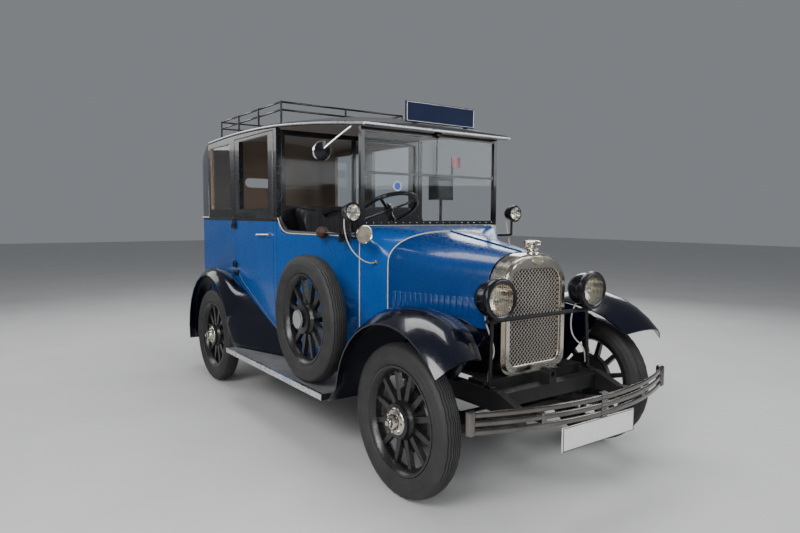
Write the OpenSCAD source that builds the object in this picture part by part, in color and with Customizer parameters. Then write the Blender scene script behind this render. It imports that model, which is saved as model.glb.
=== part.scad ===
// A 1920s landaulet taxi cab, right-hand drive: nose towards +X, left side
// towards +Y, wheels on the ground at z = 0. All sizes are millimetres.

/* [Chassis] */
// Distance between the front and rear axles
wheelbase = 2650; // [2500:10:3200]
// Distance between the centre planes of the two wheels of an axle
track = 1422; // [1400:2:1600]
// Width between the centre lines of the two frame rails
rail_span = 740; // [680:10:780]
// Height of the underside of the frame rails
rail_z = 430; // [420:5:470]
// Height of a frame rail
rail_h = 100; // [80:5:120]
// Width of a frame rail
rail_w = 45; // [35:1:60]

/* [Wheels] */
// Outer radius of a tyre
tyre_r = 376; // [340:1:400]
// Width of a tyre
tyre_w = 125; // [100:1:145]
// Radius of the rim where the tyre sits
rim_r = 268; // [240:1:285]
// Number of spokes in a wheel
spoke_count = 12; // [8:1:16]
// Radius of the brake drums
drum_r = 160; // [130:1:190]

/* [Body] */
// Half width of the passenger body at the waist
body_hw = 640; // [600:5:700]
// Half width of the body at the windscreen
screen_hw = 545; // [500:5:600]
// Thickness of the body walls and doors
wall = 36; // [28:1:45]
// Height of the underside of the body sides
sill_z = 440; // [430:5:480]
// Height of the waist line
waist_z = 1340; // [1280:5:1400]
// Height of the cut-down edge beside the driver
cut_z = 1240; // [1180:5:1270]
// Height of the roof edge where it is highest
roof_edge_z = 2012; // [1950:5:2100]
// Distance from the rear axle to the back of the body
tail = 700; // [620:5:760]
// Distance from the front axle back to the windscreen
screen_back = 700; // [680:5:760]
// Width of a passenger door
door_w = 736; // [640:4:800]
// Depth of the quarter windows and doors' windows
window_h = 520; // [420:5:540]

/* [Bonnet and radiator] */
// Half width of the radiator shell
shell_hw = 235; // [200:5:260]
// Depth of the radiator shell
shell_depth = 112; // [80:2:140]
// Height of the top of the radiator shell
shell_top = 1172; // [1100:2:1200]
// Height of the bottom of the radiator shell
shell_z = 550; // [540:5:620]
// Height of the lower edge of the bonnet sides
bonnet_z = 780; // [740:5:800]
// Thickness of the bonnet panels
bonnet_t = 8; // [4:1:12]

/* [Fittings] */
// Radius of a headlamp
lamp_r = 102; // [80:1:120]
// Half of the distance between the headlamp centres
lamp_hy = 346; // [300:2:400]
// Height of the headlamp centres
lamp_z = 965; // [900:5:1000]
// Half length of the bumper
bumper_hw = 709; // [650:1:760]
// Radius of the steering wheel rim
steer_r = 205; // [180:1:230]
// Outer half width across the running boards
board_hw = 860; // [840:2:900]
// Height of the top of the running boards
board_z = 382; // [375:1:400]
// Radius of the starting handle hole
crank_r = 14; // [10:1:18]

/* [Hidden] */
$fn = 48;

// Clearances
gap = 6;          // round doors and bonnet
seat_gap = 0.3;   // between pieces that rest on each other
shaft_gap = 0.05; // round a turning pin

// Stations along the car
front_x = wheelbase/2 + 75;
rear_x = front_x - wheelbase;
tail_x = rear_x - tail;
screen_x = front_x - screen_back;
dash_x = front_x - 520;          // back edge of the bonnet
door_rear_x = rear_x + 230;
door_front_x = door_rear_x + door_w;
part_x = door_front_x + 55;      // front face of the partition
hood_x = rear_x - 400;           // front edge of the folding hood
shell_x = front_x + 185;         // front face of the radiator
shell_back_x = shell_x - shell_depth;
hy = track/2;
rail_y = rail_span/2;
rail_top = rail_z + rail_h;
king_y = hy - 111;
arm_l = 160;
arm_z = 235;
floor_t = 24;
floor_z = rail_top + seat_gap + floor_t;

// Joints and pins
pin_r = 12;
eye_r = 8;
stub_r = 20;
hinge_y = body_hw + 14;
hinge_x = door_rear_x - 8;
hinge_z = [waist_z - 66, 950];

// Bonnet line
shell_foot_r = 70;
grille_rim = 42;
grille_header = 76;
grille_top_r = 85;
grille_foot_r = 50;
bonnet_top_rear = shell_top + 98;
bonnet_top_front = shell_top + 2;
bonnet_hw_rear = 460;
bonnet_shoulder = 190;

// Roof
roof_t = 28;
roof_arc = 13500;
roof_peak_x = rear_x + 250;
roof_front_x = screen_x + 100;
roof_crown = 70;
roof_front_hw = 560;

// Springs, shaft and engine
spring_w = 50;
spring_t = 45;
front_spring_r = 1300;
rear_spring_r = 1500;
front_spring_half = 430;
rear_spring_half = 560;
eye_pack_r = 20;
front_seat_z = 305.5;
rear_seat_z = 262;
rear_eye_z = rear_seat_z + 128;
rear_spring_y = rail_y + 70;
prop_r = 34;
crank_z = rail_top + 30;
axle_ball_r = 130;
engine_z = rail_z + 40;

// Steering
steer_x = front_x - 900;
steer_y = -200;
steer_z = 1405;
steer_tilt = 30;   // the column leans this far from upright
column_r = 19;

// ---------------------------------------------------------------- helpers

// A solid through a list of rings with the same number of points each. The rings of a
// sheet run along one face and back along the other, so its ends close in strips
module loft(rings, sheet = false) {
    n = len(rings[0]);
    m = len(rings);
    half = n/2 - 2;
    polyhedron(points = [for (r = rings) for (p = r) p],
        faces = concat(
            sheet ? [for (i = [0:half]) [i, i + 1, n - 2 - i, n - 1 - i]] : [[for (i = [0:n - 1]) i]],
            [for (k = [0:m - 2]) for (i = [0:n - 1])
                each [[k*n + i, (k + 1)*n + (i + 1)%n, k*n + (i + 1)%n],
                      [k*n + i, (k + 1)*n + i, (k + 1)*n + (i + 1)%n]]],
            sheet ? [for (i = [0:half]) [for (k = [n - 1 - i, n - 2 - i, i + 1, i]) (m - 1)*n + k]]
                : [[for (i = [n - 1:-1:0]) (m - 1)*n + i]]));
}

module tube_y(r, l, hole = 0) {
    rotate([90, 0, 0]) difference() {
        cylinder(r = r, h = l, center = true);
        if (hole > 0) cylinder(r = hole, h = l + 2, center = true);
    }
}

module rod(a, b, r) {
    d = b - a;
    l = norm(d);
    translate(a) rotate([0, acos(d[2]/l), atan2(d[1], d[0])]) cylinder(r = r, h = l, $fn = 24);
}

// A plate in the XZ plane between two y values
module plate_y(points, y0, y1) {
    translate([0, y1, 0]) rotate([90, 0, 0]) linear_extrude(y1 - y0) polygon(points);
}

module both_sides() {
    children();
    mirror([0, 1, 0]) children();
}

function mix(a, b, t) = a + (b - a)*t;
function arc_points(cx, cz, r, a0, a1, steps) =
    [for (i = [0:steps]) let (a = mix(a0, a1, i/steps)) [cx + r*cos(a), cz + r*sin(a)]];

// Half width of the body side at a place along the car
function side_hw(x) = x < part_x ? body_hw
    : mix(body_hw, screen_hw, (x - part_x)/(screen_x - part_x));

// Height of the roof edge and half width of the roof at a place along the car
function roof_edge(x) = roof_edge_z - (x - roof_peak_x)*(x - roof_peak_x)/(2*roof_arc);
function roof_hw(x) = x < part_x ? body_hw - 16
    : mix(body_hw - 16, roof_front_hw, (x - part_x)/(roof_front_x - part_x));
function roof_rise(x) = x > roof_front_x - 600
    ? mix(12, roof_crown, sqrt((roof_front_x - x)/600)) : roof_crown;
function roof_top(x, y) = roof_edge(x) + roof_rise(x)*(1 - y*y/(roof_hw(x)*roof_hw(x)));

// ---------------------------------------------------------------- chassis

module rail() {
    tip_x = front_x + 460;
    plate_y([[tail_x + 100, rail_z], [tail_x + 100, rail_top], [front_x + 300, rail_top],
        [tip_x, rail_z + 40], [tip_x, rail_z]], -rail_w/2, rail_w/2);
}

module cross_member(x, w = 70) {
    translate([x - w/2, -rail_y, rail_z + 15]) cube([w, rail_span, rail_h - 30]);
}

module prop_shaft(r) {
    rod([front_x - 714, 0, rail_z + 55], [rear_x + axle_ball_r + 0.5, 0, tyre_r + 4], r);
}

module chassis_frame() {
    plate_x = tail_x - 62 + seat_gap;
    color("#15171c") difference() {
        union() {
            for (s = [-1, 1]) translate([0, s*rail_y, 0]) rail();
            for (x = [tail_x + 140, rear_x + 420, part_x + 60, screen_x - 80, front_x + 270])
                cross_member(x);
            // bearers under the engine and the radiator
            for (x = [front_x - 378, front_x - 60]) translate([x, -rail_y, rail_z + 15])
                cube([50, rail_span, engine_z - rail_z - 15 - seat_gap]);
            translate([shell_back_x, -rail_y, rail_z + 20])
                cube([shell_depth, rail_span, shell_z - rail_z - 20 - seat_gap]);
            for (s = [-1, 1]) {
                // outriggers that carry the body
                for (x = [part_x - 180, screen_x - 60])
                    translate([x, s*(rail_y + 65) - 65, board_z + seat_gap])
                        cube([50, 130, rail_z + 50 - board_z]);
                // hangers of the rear springs
                for (e = [-1, 1])
                    translate([rear_x + e*rear_spring_half - 22, s*(rail_y + 9) - 33.5, rear_eye_z - 16])
                        cube([44, 67, rail_z - rear_eye_z + 18]);
                // bumper irons
                translate([front_x + 440, s*rail_y - 20, rail_z + 20]) cube([70, 40, 30]);
            }
            // bearing of the starting handle, above the bumper
            translate([front_x + 235, 0, crank_z]) rotate([0, 90, 0]) cylinder(r = crank_r + 12, h = 70);
            translate([front_x + 235, -crank_r - 12, rail_z + 60])
                cube([70, 2*crank_r + 24, crank_z - rail_z - 60]);
            // arm of the rear number plate
            translate([plate_x, -rail_y - 20, sill_z - 25]) cube([200, 40, 25 - seat_gap]);
            translate([plate_x, -rail_y - 20, sill_z - 25]) cube([10, 40, 150]);
        }
        translate([front_x + 230, 0, crank_z]) rotate([0, 90, 0]) cylinder(r = crank_r, h = 80);
        prop_shaft(prop_r + 14);
    }
}

// A leaf spring as an arc through its eyes, lowest at the axle
module leaf_spring(half, r, seat_z) {
    a = asin(half/r);
    pts = concat(arc_points(0, seat_z + r, r, -90 - a, -90 + a, 16),
        arc_points(0, seat_z + r, r - spring_t, -90 + a, -90 - a, 16));
    plate_y(pts, -spring_w/2, spring_w/2);
}

module leaf_springs() {
    color("#101114") for (s = [-1, 1]) {
        translate([front_x, s*rail_y, 0]) {
            leaf_spring(front_spring_half, front_spring_r, front_seat_z);
            for (e = [-1, 1]) translate([e*front_spring_half, 0, rail_z - eye_pack_r - seat_gap])
                tube_y(eye_pack_r, spring_w);
        }
        translate([rear_x, s*rear_spring_y, 0]) {
            leaf_spring(rear_spring_half, rear_spring_r, rear_seat_z);
            for (e = [-1, 1])
                translate([e*rear_spring_half, 0, rear_eye_z]) tube_y(eye_pack_r, spring_w + 4);
        }
    }
}

module front_axle() {
    beam_t = 60;
    beam_z = front_seat_z - beam_t - seat_gap;
    color("#101114") translate([front_x, 0, 0]) difference() {
        union() {
            rotate([90, 0, 90]) linear_extrude(56, center = true) polygon([
                [-king_y, tyre_r - 40], [-king_y, tyre_r + 40], [-king_y + 40, tyre_r + 40],
                [-rail_y - 50, beam_z + beam_t], [rail_y + 50, beam_z + beam_t],
                [king_y - 40, tyre_r + 40], [king_y, tyre_r + 40], [king_y, tyre_r - 40],
                [king_y - 34, tyre_r - 40], [rail_y + 70, beam_z], [-rail_y - 70, beam_z],
                [34 - king_y, tyre_r - 40]]);
            for (s = [-1, 1]) translate([0, s*king_y, tyre_r - 44])
                cylinder(r = 30, h = 88);
        }
        for (s = [-1, 1]) translate([0, s*king_y, tyre_r - 60]) cylinder(r = pin_r + shaft_gap, h = 120);
    }
}

module knuckle() {
    // built for the left side, the king pin at the origin of x and y
    translate([front_x, king_y, 0]) {
        for (z = [tyre_r - 70, tyre_r + 46]) translate([0, 0, z]) {
            cylinder(r = 28, h = 24);
            translate([-26, 0, 0]) cube([52, 48, 24]);
        }
        translate([0, 0, tyre_r - 70]) cylinder(r = pin_r, h = 140);
        translate([-40, 36, tyre_r - 70]) cube([80, 12, 140]);
        translate([0, 52, tyre_r]) tube_y(drum_r - 6, 8);
        translate([0, 105, tyre_r]) tube_y(stub_r, 115);
        // steering arm with its ball pin
        translate([-arm_l, -14, arm_z]) cube([arm_l + 10, 28, 22]);
        translate([-20, 0, arm_z]) cube([40, 46, tyre_r - 60 - arm_z]);
        translate([-arm_l, 0, arm_z]) cylinder(r = 18, h = 22);
        translate([-arm_l, 0, arm_z]) cylinder(r = eye_r, h = 56);
    }
}

module knuckle_left() { color("#16181c") knuckle(); }
module knuckle_right() { color("#16181c") mirror([0, 1, 0]) knuckle(); }

module track_rod() {
    eye_z = arm_z + 22 + seat_gap;
    color("#1b1d22") translate([front_x - arm_l, 0, eye_z]) difference() {
        union() {
            translate([0, 0, 15]) tube_y(11, 2*king_y - 30);
            for (s = [-1, 1]) translate([0, s*king_y, 0]) cylinder(r = 19, h = 30);
        }
        for (s = [-1, 1]) translate([0, s*king_y, -1]) cylinder(r = eye_r + shaft_gap, h = 32);
    }
}

module rear_axle() {
    color("#101114") translate([rear_x, 0, tyre_r]) {
        tube_y(42, 2*hy - 120);
        rotate([90, 0, 0]) sphere(r = axle_ball_r, $fn = 32);
        for (s = [-1, 1]) {
            translate([0, s*(hy - 62), 0]) tube_y(drum_r - 6, 8);
            translate([-55, s*rear_spring_y - 35, rear_seat_z + spring_t + 1.7 - tyre_r])
                cube([110, 70, tyre_r - rear_seat_z - spring_t - 20]);
            translate([0, s*(hy - 8), 0]) tube_y(stub_r, 130);
        }
    }
}

module engine_block() {
    color("#3b3f42") translate([front_x - 380, -140, engine_z]) cube([430, 280, 520]);
}

module drive_line() {
    color("#2a2c2e") {
        translate([front_x - 715, -95, rail_z + 10]) cube([335 - seat_gap, 190, 170]);
        prop_shaft(prop_r);
    }
}

module exhaust() {
    pipe_y = 245;
    z = rail_z - 60;
    muffler_x = rear_x + 620;
    color("#4a4640") {
        rod([front_x - 120, 140 + 22 + seat_gap, rail_z + 60], [front_x - 480, pipe_y, z], 22);
        rod([front_x - 470, pipe_y, z], [muffler_x + 500, pipe_y, z], 21);
        rod([muffler_x + 510, pipe_y, z], [muffler_x, pipe_y, z], 62);
        rod([muffler_x + 10, pipe_y, z], [rear_x + 180, pipe_y, z - 10], 20);
        // straps up to the cross members
        for (x = [part_x + 50, rear_x + 410]) translate([x, pipe_y - 10, z + 10])
            cube([20, 20, rail_z + 15 - seat_gap - z - 10]);
    }
}

// ---------------------------------------------------------------- wheels

module tyre() {
    c = tyre_r - tyre_w/2;
    color("#17181a") rotate([90, 0, 0]) rotate_extrude($fn = 64) difference() {
        union() {
            translate([c - 2, 0]) circle(r = tyre_w/2, $fn = 40);
            translate([c, -tyre_w*0.36]) square([tyre_w/2, tyre_w*0.72]);
            translate([rim_r, -46]) square([tyre_r - rim_r - 40, 92]);
        }
        translate([0, -tyre_w]) square([rim_r, 2*tyre_w]);
        translate([tyre_r, -tyre_w]) square([tyre_w, 2*tyre_w]);
    }
}

module spokes() {
    for (i = [0:spoke_count - 1]) rotate([0, i*360/spoke_count + 15, 0])
        translate([0, 0, 60]) rotate([90, 0, 0])
            linear_extrude(26, center = true)
                polygon([[-17, 0], [17, 0], [12, rim_r - 84], [-12, rim_r - 84]]);
}

// A disc wheel with windows; the outer face points to -Y
module wheel_body(hole = 20) {
    r = rim_r - seat_gap;
    rotate([90, 0, 0]) difference() {
        union() {
            rotate_extrude($fn = 64) polygon([[r, -46], [r, 46], [r - 10, 46], [r - 22, 34],
                [r - 34, 14], [r - 34, -14], [r - 22, -34], [r - 10, -46]]);
            rotate_extrude($fn = 48) polygon([[hole, -20], [hole, 74], [34, 74], [40, 56], [86, 50],
                [86, 34], [96, 17], [96, -17], [60, -20]]);
        }
    }
    spokes();
}

module hub_nut(y) {
    translate([0, y, 0]) rotate([90, 0, 0]) cylinder(r = 26, h = 14, $fn = 6);
}

// Brake drum behind a road wheel
module drum() {
    rotate([90, 0, 0]) difference() {
        translate([0, 0, -48]) cylinder(r = drum_r, h = 32);
        translate([0, 0, -50]) cylinder(r = 26, h = 40);
    }
}

module road_wheel() {
    color("#0d0e11") {
        wheel_body(stub_r + 0.4);
        hub_nut(-74);
        drum();
    }
}

module place_wheel(x, s) {
    translate([x, s*hy, tyre_r]) rotate([0, 0, s > 0 ? 180 : 0]) children();
}

module front_left_wheel() { place_wheel(front_x, 1) road_wheel(); }
module front_right_wheel() { place_wheel(front_x, -1) road_wheel(); }
module rear_left_wheel() { place_wheel(rear_x, 1) road_wheel(); }
module rear_right_wheel() { place_wheel(rear_x, -1) road_wheel(); }
module front_left_tyre() { place_wheel(front_x, 1) tyre(); }
module front_right_tyre() { place_wheel(front_x, -1) tyre(); }
module rear_left_tyre() { place_wheel(rear_x, 1) tyre(); }
module rear_right_tyre() { place_wheel(rear_x, -1) tyre(); }

spare_x = front_x - 873;
spare_y = 80 - board_hw;
spare_z = board_z + tyre_r + seat_gap;

module spare_wheel() {
    side = side_hw(spare_x - 70) + seat_gap;
    color("#0d0e11") translate([spare_x, spare_y, spare_z]) {
        wheel_body(stub_r);
        translate([0, -70, 0]) rotate([90, 0, 0]) cylinder(r = 56, h = 8);
        // carrier stub that bolts to the body side
        translate([0, (-side - spare_y - 76)/2, 0]) tube_y(30, -side - spare_y + 68);
        translate([0, -side - spare_y - 6, 0]) tube_y(70, 12);
    }
}

module spare_tyre() { translate([spare_x, spare_y, spare_z]) tyre(); }

// ---------------------------------------------------------------- nose

function arch(hw, z0, shoulder, top, steps = 12, n = 2.4) = concat([[hw, z0]],
    [for (i = [0:steps]) let (a = 90*i/steps)
        [hw*pow(cos(a), 2/n), shoulder + (top - shoulder)*pow(sin(a), 2/n)]]);

// Height of the hinge line along the top of the bonnet
function ridge_z(x) = mix(bonnet_top_rear, bonnet_top_front,
    (x - dash_x + 2)/(shell_back_x - seat_gap - dash_x + 2));

// Half of the bonnet, open below: a curved sheet between the radiator and the dash
module bonnet_half() {
    function sheet(x, hw) = let (
        top = ridge_z(x),
        out = arch(hw, bonnet_z, top - bonnet_shoulder, top),
        in = arch(hw - bonnet_t, bonnet_z, top - bonnet_shoulder, top - bonnet_t))
        concat([for (p = out) [x, max(p[0], 2), p[1]]],
            [for (i = [len(in) - 1:-1:0]) [x, max(in[i][0], 2), in[i][1]]]);
    x0 = dash_x + gap;
    x1 = shell_back_x - gap;
    loft([sheet(x0, bonnet_hw_rear), sheet(mix(x0, x1, 0.5), mix(bonnet_hw_rear, shell_hw, 0.5) + 14),
        sheet(x1, shell_hw + 2)], sheet = true);
}

module bonnet_left() { color("#0f3c6e") bonnet_half(); }
module bonnet_right() { color("#0f3c6e") mirror([0, 1, 0]) bonnet_half(); }

module shell_outline(inset = 0) {
    hw = shell_hw - inset;
    z0 = shell_z + inset;
    r = shell_foot_r - inset;
    bend = arch(hw, z0 + r, shell_top - 190, shell_top - inset, 14, 2.3);
    pts = concat(arc_points(hw - r, z0 + r, r, 270, 360, 5), [for (i = [1:len(bend) - 1]) bend[i]]);
    polygon(concat(pts, [for (i = [len(pts) - 1:-1:0]) [-pts[i][0], pts[i][1]]]));
}

// Opening for the core: a tall rectangle with wide corners, below a deep header
module grille_outline(grow = 0) {
    hw = shell_hw - grille_rim + grow;
    z0 = shell_z + grille_rim - grow;
    z1 = shell_top - grille_header + grow;
    polygon(concat(arc_points(hw - grille_top_r, z1 - grille_top_r, grille_top_r, 0, 90, 8),
        arc_points(grille_top_r - hw, z1 - grille_top_r, grille_top_r, 90, 180, 8),
        arc_points(grille_foot_r - hw, z0 + grille_foot_r, grille_foot_r, 180, 270, 6),
        arc_points(hw - grille_foot_r, z0 + grille_foot_r, grille_foot_r, 270, 360, 6)));
}

module radiator() {
    color("#b9b3a6") {
        translate([shell_back_x, 0, 0]) rotate([90, 0, 90]) {
            difference() {
                linear_extrude(shell_depth - 20) shell_outline();
                translate([0, 0, 30]) linear_extrude(shell_depth) grille_outline();
            }
            translate([0, 0, shell_depth - 20]) linear_extrude(20) difference() {
                shell_outline(16);
                grille_outline();
            }
            translate([0, 0, 26]) linear_extrude(shell_depth - 62) grille_outline(1);
        }
        translate([shell_x - 42, 0, shell_top - 4]) {
            cylinder(r = 26, h = 30);
            translate([0, 0, 30]) cylinder(r = 34, h = 16);
            translate([0, 0, 46]) tube_y(9, 110);
        }
    }
}

// Cowl between the bonnet and the driver's compartment
screen_base = waist_z - 34;

module scuttle_form(inset, x0, x1) {
    function ring(x, hw, top, drop, n) = let (
        p = arch(hw - inset, sill_z - (inset > 0 ? 10 : 0), top - drop, top - inset, 12, n))
        concat([for (q = p) [x, q[0], q[1]]], [for (i = [len(p) - 2:-1:0]) [x, -p[i][0], p[i][1]]]);
    loft([ring(x0, screen_hw, screen_base, 60, 9),
        ring(x1, bonnet_hw_rear, bonnet_top_rear, bonnet_shoulder, 2.4)]);
}

// Fixed side of the engine bay, from the frame up to the bonnet
module bonnet_sill() {
    function strip(x, hw) = [[x, hw - bonnet_t, rail_top + 10], [x, hw, rail_top + 10],
        [x, hw, bonnet_z - gap], [x, hw - bonnet_t, bonnet_z - gap]];
    x1 = shell_back_x - gap;
    inset = 30;   // keeps it inside the aprons of the wings
    loft([strip(dash_x - 1, bonnet_hw_rear - inset),
        strip(mix(dash_x + gap, x1, 0.5), mix(bonnet_hw_rear, shell_hw, 0.5) + 14 - inset),
        strip(x1, shell_hw + 2 - inset)]);
}

module scuttle() {
    color("#1b5f9e") {
        difference() {
            scuttle_form(0, screen_x, dash_x);
            difference() {
                scuttle_form(26, screen_x - 1, dash_x - 24);
                // instrument board
                translate([screen_x - 2, -screen_hw, 1130]) cube([22, 2*screen_hw, 300]);
            }
            // way through for the steering column
            translate([steer_x, steer_y, steer_z]) rotate([0, 180 - steer_tilt, 0])
                cylinder(r = column_r + 12, h = 1100);
            // the frame and gearbox pass below the dash
            for (s = [-1, 1]) translate([screen_x - 2, s*rail_y - 45, sill_z - 2])
                cube([dash_x - screen_x + 4, 90, rail_top - sill_z + 6]);
            translate([dash_x - 60, -130, sill_z - 2]) cube([100, 260, 240]);
        }
        both_sides() bonnet_sill();
        // rod that both bonnet halves hinge on
        rod([dash_x - 2, 0, bonnet_top_rear], [shell_back_x - seat_gap, 0, bonnet_top_front], 1.7);
    }
}

screen_top = roof_edge(screen_x + 18) - roof_t - 1;

module windscreen() {
    frame_w = 26;
    base = screen_base + seat_gap;
    top = screen_top;
    hw = screen_hw - 20;
    color("#0c0d10") translate([screen_x - 8, 0, 0]) {
        for (s = [-1, 1]) translate([0, s*hw - frame_w/2, base]) cube([frame_w, frame_w, top - base]);
        for (z = [base, top - frame_w, mix(base, top, 0.53)])
            translate([3, -hw, z]) cube([frame_w - 6, 2*hw, z == base || z == top - frame_w ? frame_w : 14]);
    }
}

// ---------------------------------------------------------------- wings

wing_t = 8;
front_wing_y = board_hw - 32;
rear_wing_y = board_hw - 60;
wing_n = 18;
dome_n = 8;
front_wing_r = 480;
rear_wing_r = 498;
rest_gap = 3;

// Half width of the lower body, which turns in towards the sill
function turned_hw(z) = z > 880 ? body_hw
    : z > 640 ? mix(body_hw - 14, body_hw, (z - 640)/240)
    : mix(body_hw - 46, body_hw - 14, (z - sill_z)/(640 - sill_z));

// Rounded cross section: 0 at the inner edge, 1 at the outer lip
function dome(t, h) = h*(t < 0.65 ? sin(90*t/0.65) : cos(90*(t - 0.65)/0.35));

// Front wing: station s runs from the running board up and over to the nose
function fw_out(s) = s < 0.22
    ? let (u = s/0.22) [front_x - mix(575, front_wing_r, u), mix(board_z - 34, tyre_r + 60, u)]
    : let (a = mix(173, 38, (s - 0.22)/0.78)) [front_x + front_wing_r*cos(a), tyre_r + front_wing_r*sin(a)];
function fw_in(s) = s < 0.22
    ? let (u = s/0.22) [front_x - mix(575, front_wing_r, u), mix(board_z - 34, tyre_r + 70, u)]
    : let (a = mix(172, 44, (s - 0.22)/0.78), r = front_wing_r + 10)
        [front_x + r*cos(a), tyre_r + r*sin(a)];
function fw_in_y(s) = s < 0.22 ? mix(560, 470, s/0.22)
    : s < 0.35 ? mix(470, 430, (s - 0.22)/0.13) : s < 0.65 ? 430 : mix(430, 540, pow((s - 0.65)/0.35, 1.5));
function fw_dome(s) = 66*min(1, s/0.2);

// Rear wing: station s runs from the back tip over the wheel to the board
function rw_out(s) = s < 0.68
    ? let (a = mix(192, 22, s/0.68)) [rear_x + rear_wing_r*cos(a), tyre_r + rear_wing_r*sin(a)]
    : let (u = (s - 0.68)/0.32) [rear_x + mix(rear_wing_r*cos(22), 590, u),
        mix(tyre_r + rear_wing_r*sin(22), board_z + 7.9, pow(u, 0.9))];
function rw_in(s) = s < 0.5
    ? let (a = mix(192, 80, s/0.5)) [rear_x + 500*cos(a), tyre_r + 535*sin(a)]
    : let (u = (s - 0.5)/0.5)
        [mix(rear_x + 87, rear_x + 1300, u), mix(tyre_r + 527, board_z + 7.9, pow(u, 1.1))];
function rw_in_y(s) = let (p = rw_in(s)) rest_gap + (p[0] < part_x ? turned_hw(p[1])
    : mix(turned_hw(p[1]), screen_hw, (p[0] - part_x)/(screen_x - part_x)));
function rw_dome(s) = 44*min(1, (1 - s)/0.2);

function wing_point(a, b, ya, yb, t, h, out) = let (
    cx = mix(a[0], b[0], t), cz = mix(a[1], b[1], t))
    [cx, mix(ya, yb, t), cz] + dome(t, h)*out;

module wing(in_path, out_path, in_y, out_y, dome_h) {
    function normal(s) = let (
        p = in_path(max(s - 0.04, 0)), q = in_path(min(s + 0.04, 1)),
        d = [q[0] - p[0], q[1] - p[1]], l = norm(d)) [-d[1]/l, 0, d[0]/l];
    function ring(s) = let (h = dome_h(s),
        a = in_path(s), b = out_path(s), ya = in_y(s), n = normal(s))
        concat([for (j = [0:dome_n]) wing_point(a, b, ya, out_y, j/dome_n, h, n) - wing_t*n],
            [for (j = [dome_n:-1:0]) wing_point(a, b, ya, out_y, j/dome_n, h, n)]);
    loft([for (i = [0:wing_n]) ring(i/wing_n)], sheet = true);
}

// Upright apron between a front wing and the frame rail
module front_valance() {
    r = front_wing_r + 6;
    plate_y(concat([[front_x + 40, rail_top + 6], [front_x - 440, rail_top + 6]],
        arc_points(front_x, tyre_r, r, 155, 59, 14)), 424, 432);
    translate([front_x - 440, rail_y + 1, rail_top + seat_gap]) cube([480, 56, 7]);
}

module wings() {
    color("#0b0f22") {
        for (side = [0, 1]) mirror([0, side, 0]) {
            wing(function(s) fw_in(s), function(s) fw_out(s), function(s) fw_in_y(s), front_wing_y,
                function(s) fw_dome(s));
            front_valance();
            wing(function(s) rw_in(s), function(s) rw_out(s), function(s) rw_in_y(s), rear_wing_y,
                function(s) rw_dome(s));
        }
    }
}

// Square groove 2 mm wide and deep round a rectangle
module frame_groove(l, w) {
    difference() {
        cube([l, w, 4]);
        translate([2, 2, -1]) cube([l - 4, w - 4, 6]);
    }
}

module running_boards() {
    mat_x0 = rear_x + 1330;
    mat_x1 = front_x - 660;
    mat_y0 = rail_y + 168;
    mat_y1 = board_hw - 18;
    x0 = rear_x + 600;
    x1 = front_x - 575.6;
    y0 = rail_y + 150;
    color("#8d8f90") both_sides() {
        difference() {
            translate([x0, y0, board_z - 32]) cube([x1 - x0, board_hw - y0, 32]);
            // groove between the rubber mat and its metal edging
            translate([mat_x0, mat_y0, board_z - 2]) frame_groove(mat_x1 - mat_x0, mat_y1 - mat_y0);
        }
        // valance up to the underside of the body
        translate([0, 0, board_z - 1]) linear_extrude(sill_z - seat_gap - board_z + 1) polygon([
            [part_x - 300, body_hw - 76], [x1, screen_hw - 40], [x1, screen_hw - 28],
            [part_x - 300, body_hw - 62]]);
        // irons in to the frame
        for (x = [part_x - 180, screen_x - 60]) translate([x, rail_y, board_z - 30])
            cube([50, y0 - rail_y + 10, 30]);
    }
}

// ---------------------------------------------------------------- body

module floor() {
    front_end = dash_x - 26;
    color("#4b3a2a") difference() {
        translate([0, 0, rail_top + seat_gap]) linear_extrude(floor_t) {
            intersection() {
                plan(wall, 32.2);
                translate([tail_x, -body_hw]) square([part_x - 40 - tail_x, 2*body_hw]);
            }
            polygon([[part_x - 41, -body_hw + wall + 40], [front_end, -rail_y - 50],
                [front_end, rail_y + 50], [part_x - 41, body_hw - wall - 40]]);
        }
        // groove round the boards that carry luggage
        translate([part_x + 40, 130, floor_z - 2]) frame_groove(screen_x - part_x - 80, 300);
        // clear of the rear wheels, however wide the body is
        both_sides() translate([rear_x, hy - tyre_w/2 - 20 + body_hw, tyre_r])
            tube_y(tyre_r + 40, 2*body_hw);
        // round the gearbox and the steering column
        translate([front_x - 720, -110, rail_top]) cube([400, 220, 60]);
        translate([steer_x, steer_y, steer_z]) rotate([0, 180 - steer_tilt, 0])
            cylinder(r = column_r + 12, h = 1100);
    }
}

// Plan outline of the body, drawn in by the given amount
module plan(inset, tuck) {
    hw = body_hw - inset - tuck;
    xr = tail_x + inset + tuck;
    r = 190 - inset;
    x1 = part_x;
    polygon(concat([[x1, hw], [x1, -hw]],
        arc_points(xr + r, -hw + r, r, 270, 180, 8), arc_points(xr + r, hw - r, r, 180, 90, 8)));
}

module slice(z, inset, tuck) {
    translate([0, 0, z]) linear_extrude(1) plan(inset, tuck);
}

// The waist shell of the body with its sides turned in towards the sill
module lower_shell() {
    difference() {
        hull() {
            slice(waist_z - 1, 0, 0);
            slice(880, 0, 0);
            slice(640, 0, 14);
            slice(sill_z, 0, 46);
        }
        hull() {
            slice(waist_z + 1, wall, 0);
            slice(870, wall, 0);
            slice(640, wall, 14);
            slice(sill_z - 1, wall, 46);
        }
    }
}

// Outline of a door, or of its opening when grown by the gap
door_top = waist_z + 70 + window_h + 18;
handle_x = door_front_x - 46;
handle_z = waist_z - 115;
function door_outline(g) = [[door_front_x + g, floor_z + 4 - g], [door_front_x + g, door_top + g],
    [door_rear_x - g, door_top + g], [door_rear_x - g, 935 - g], [door_rear_x + 50 - g, 925 - g],
    [door_rear_x + 150 - g, 850 - g], [door_front_x - 110 - g, floor_z + 60 - g],
    [door_front_x - 10, floor_z + 4 - g]];

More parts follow.
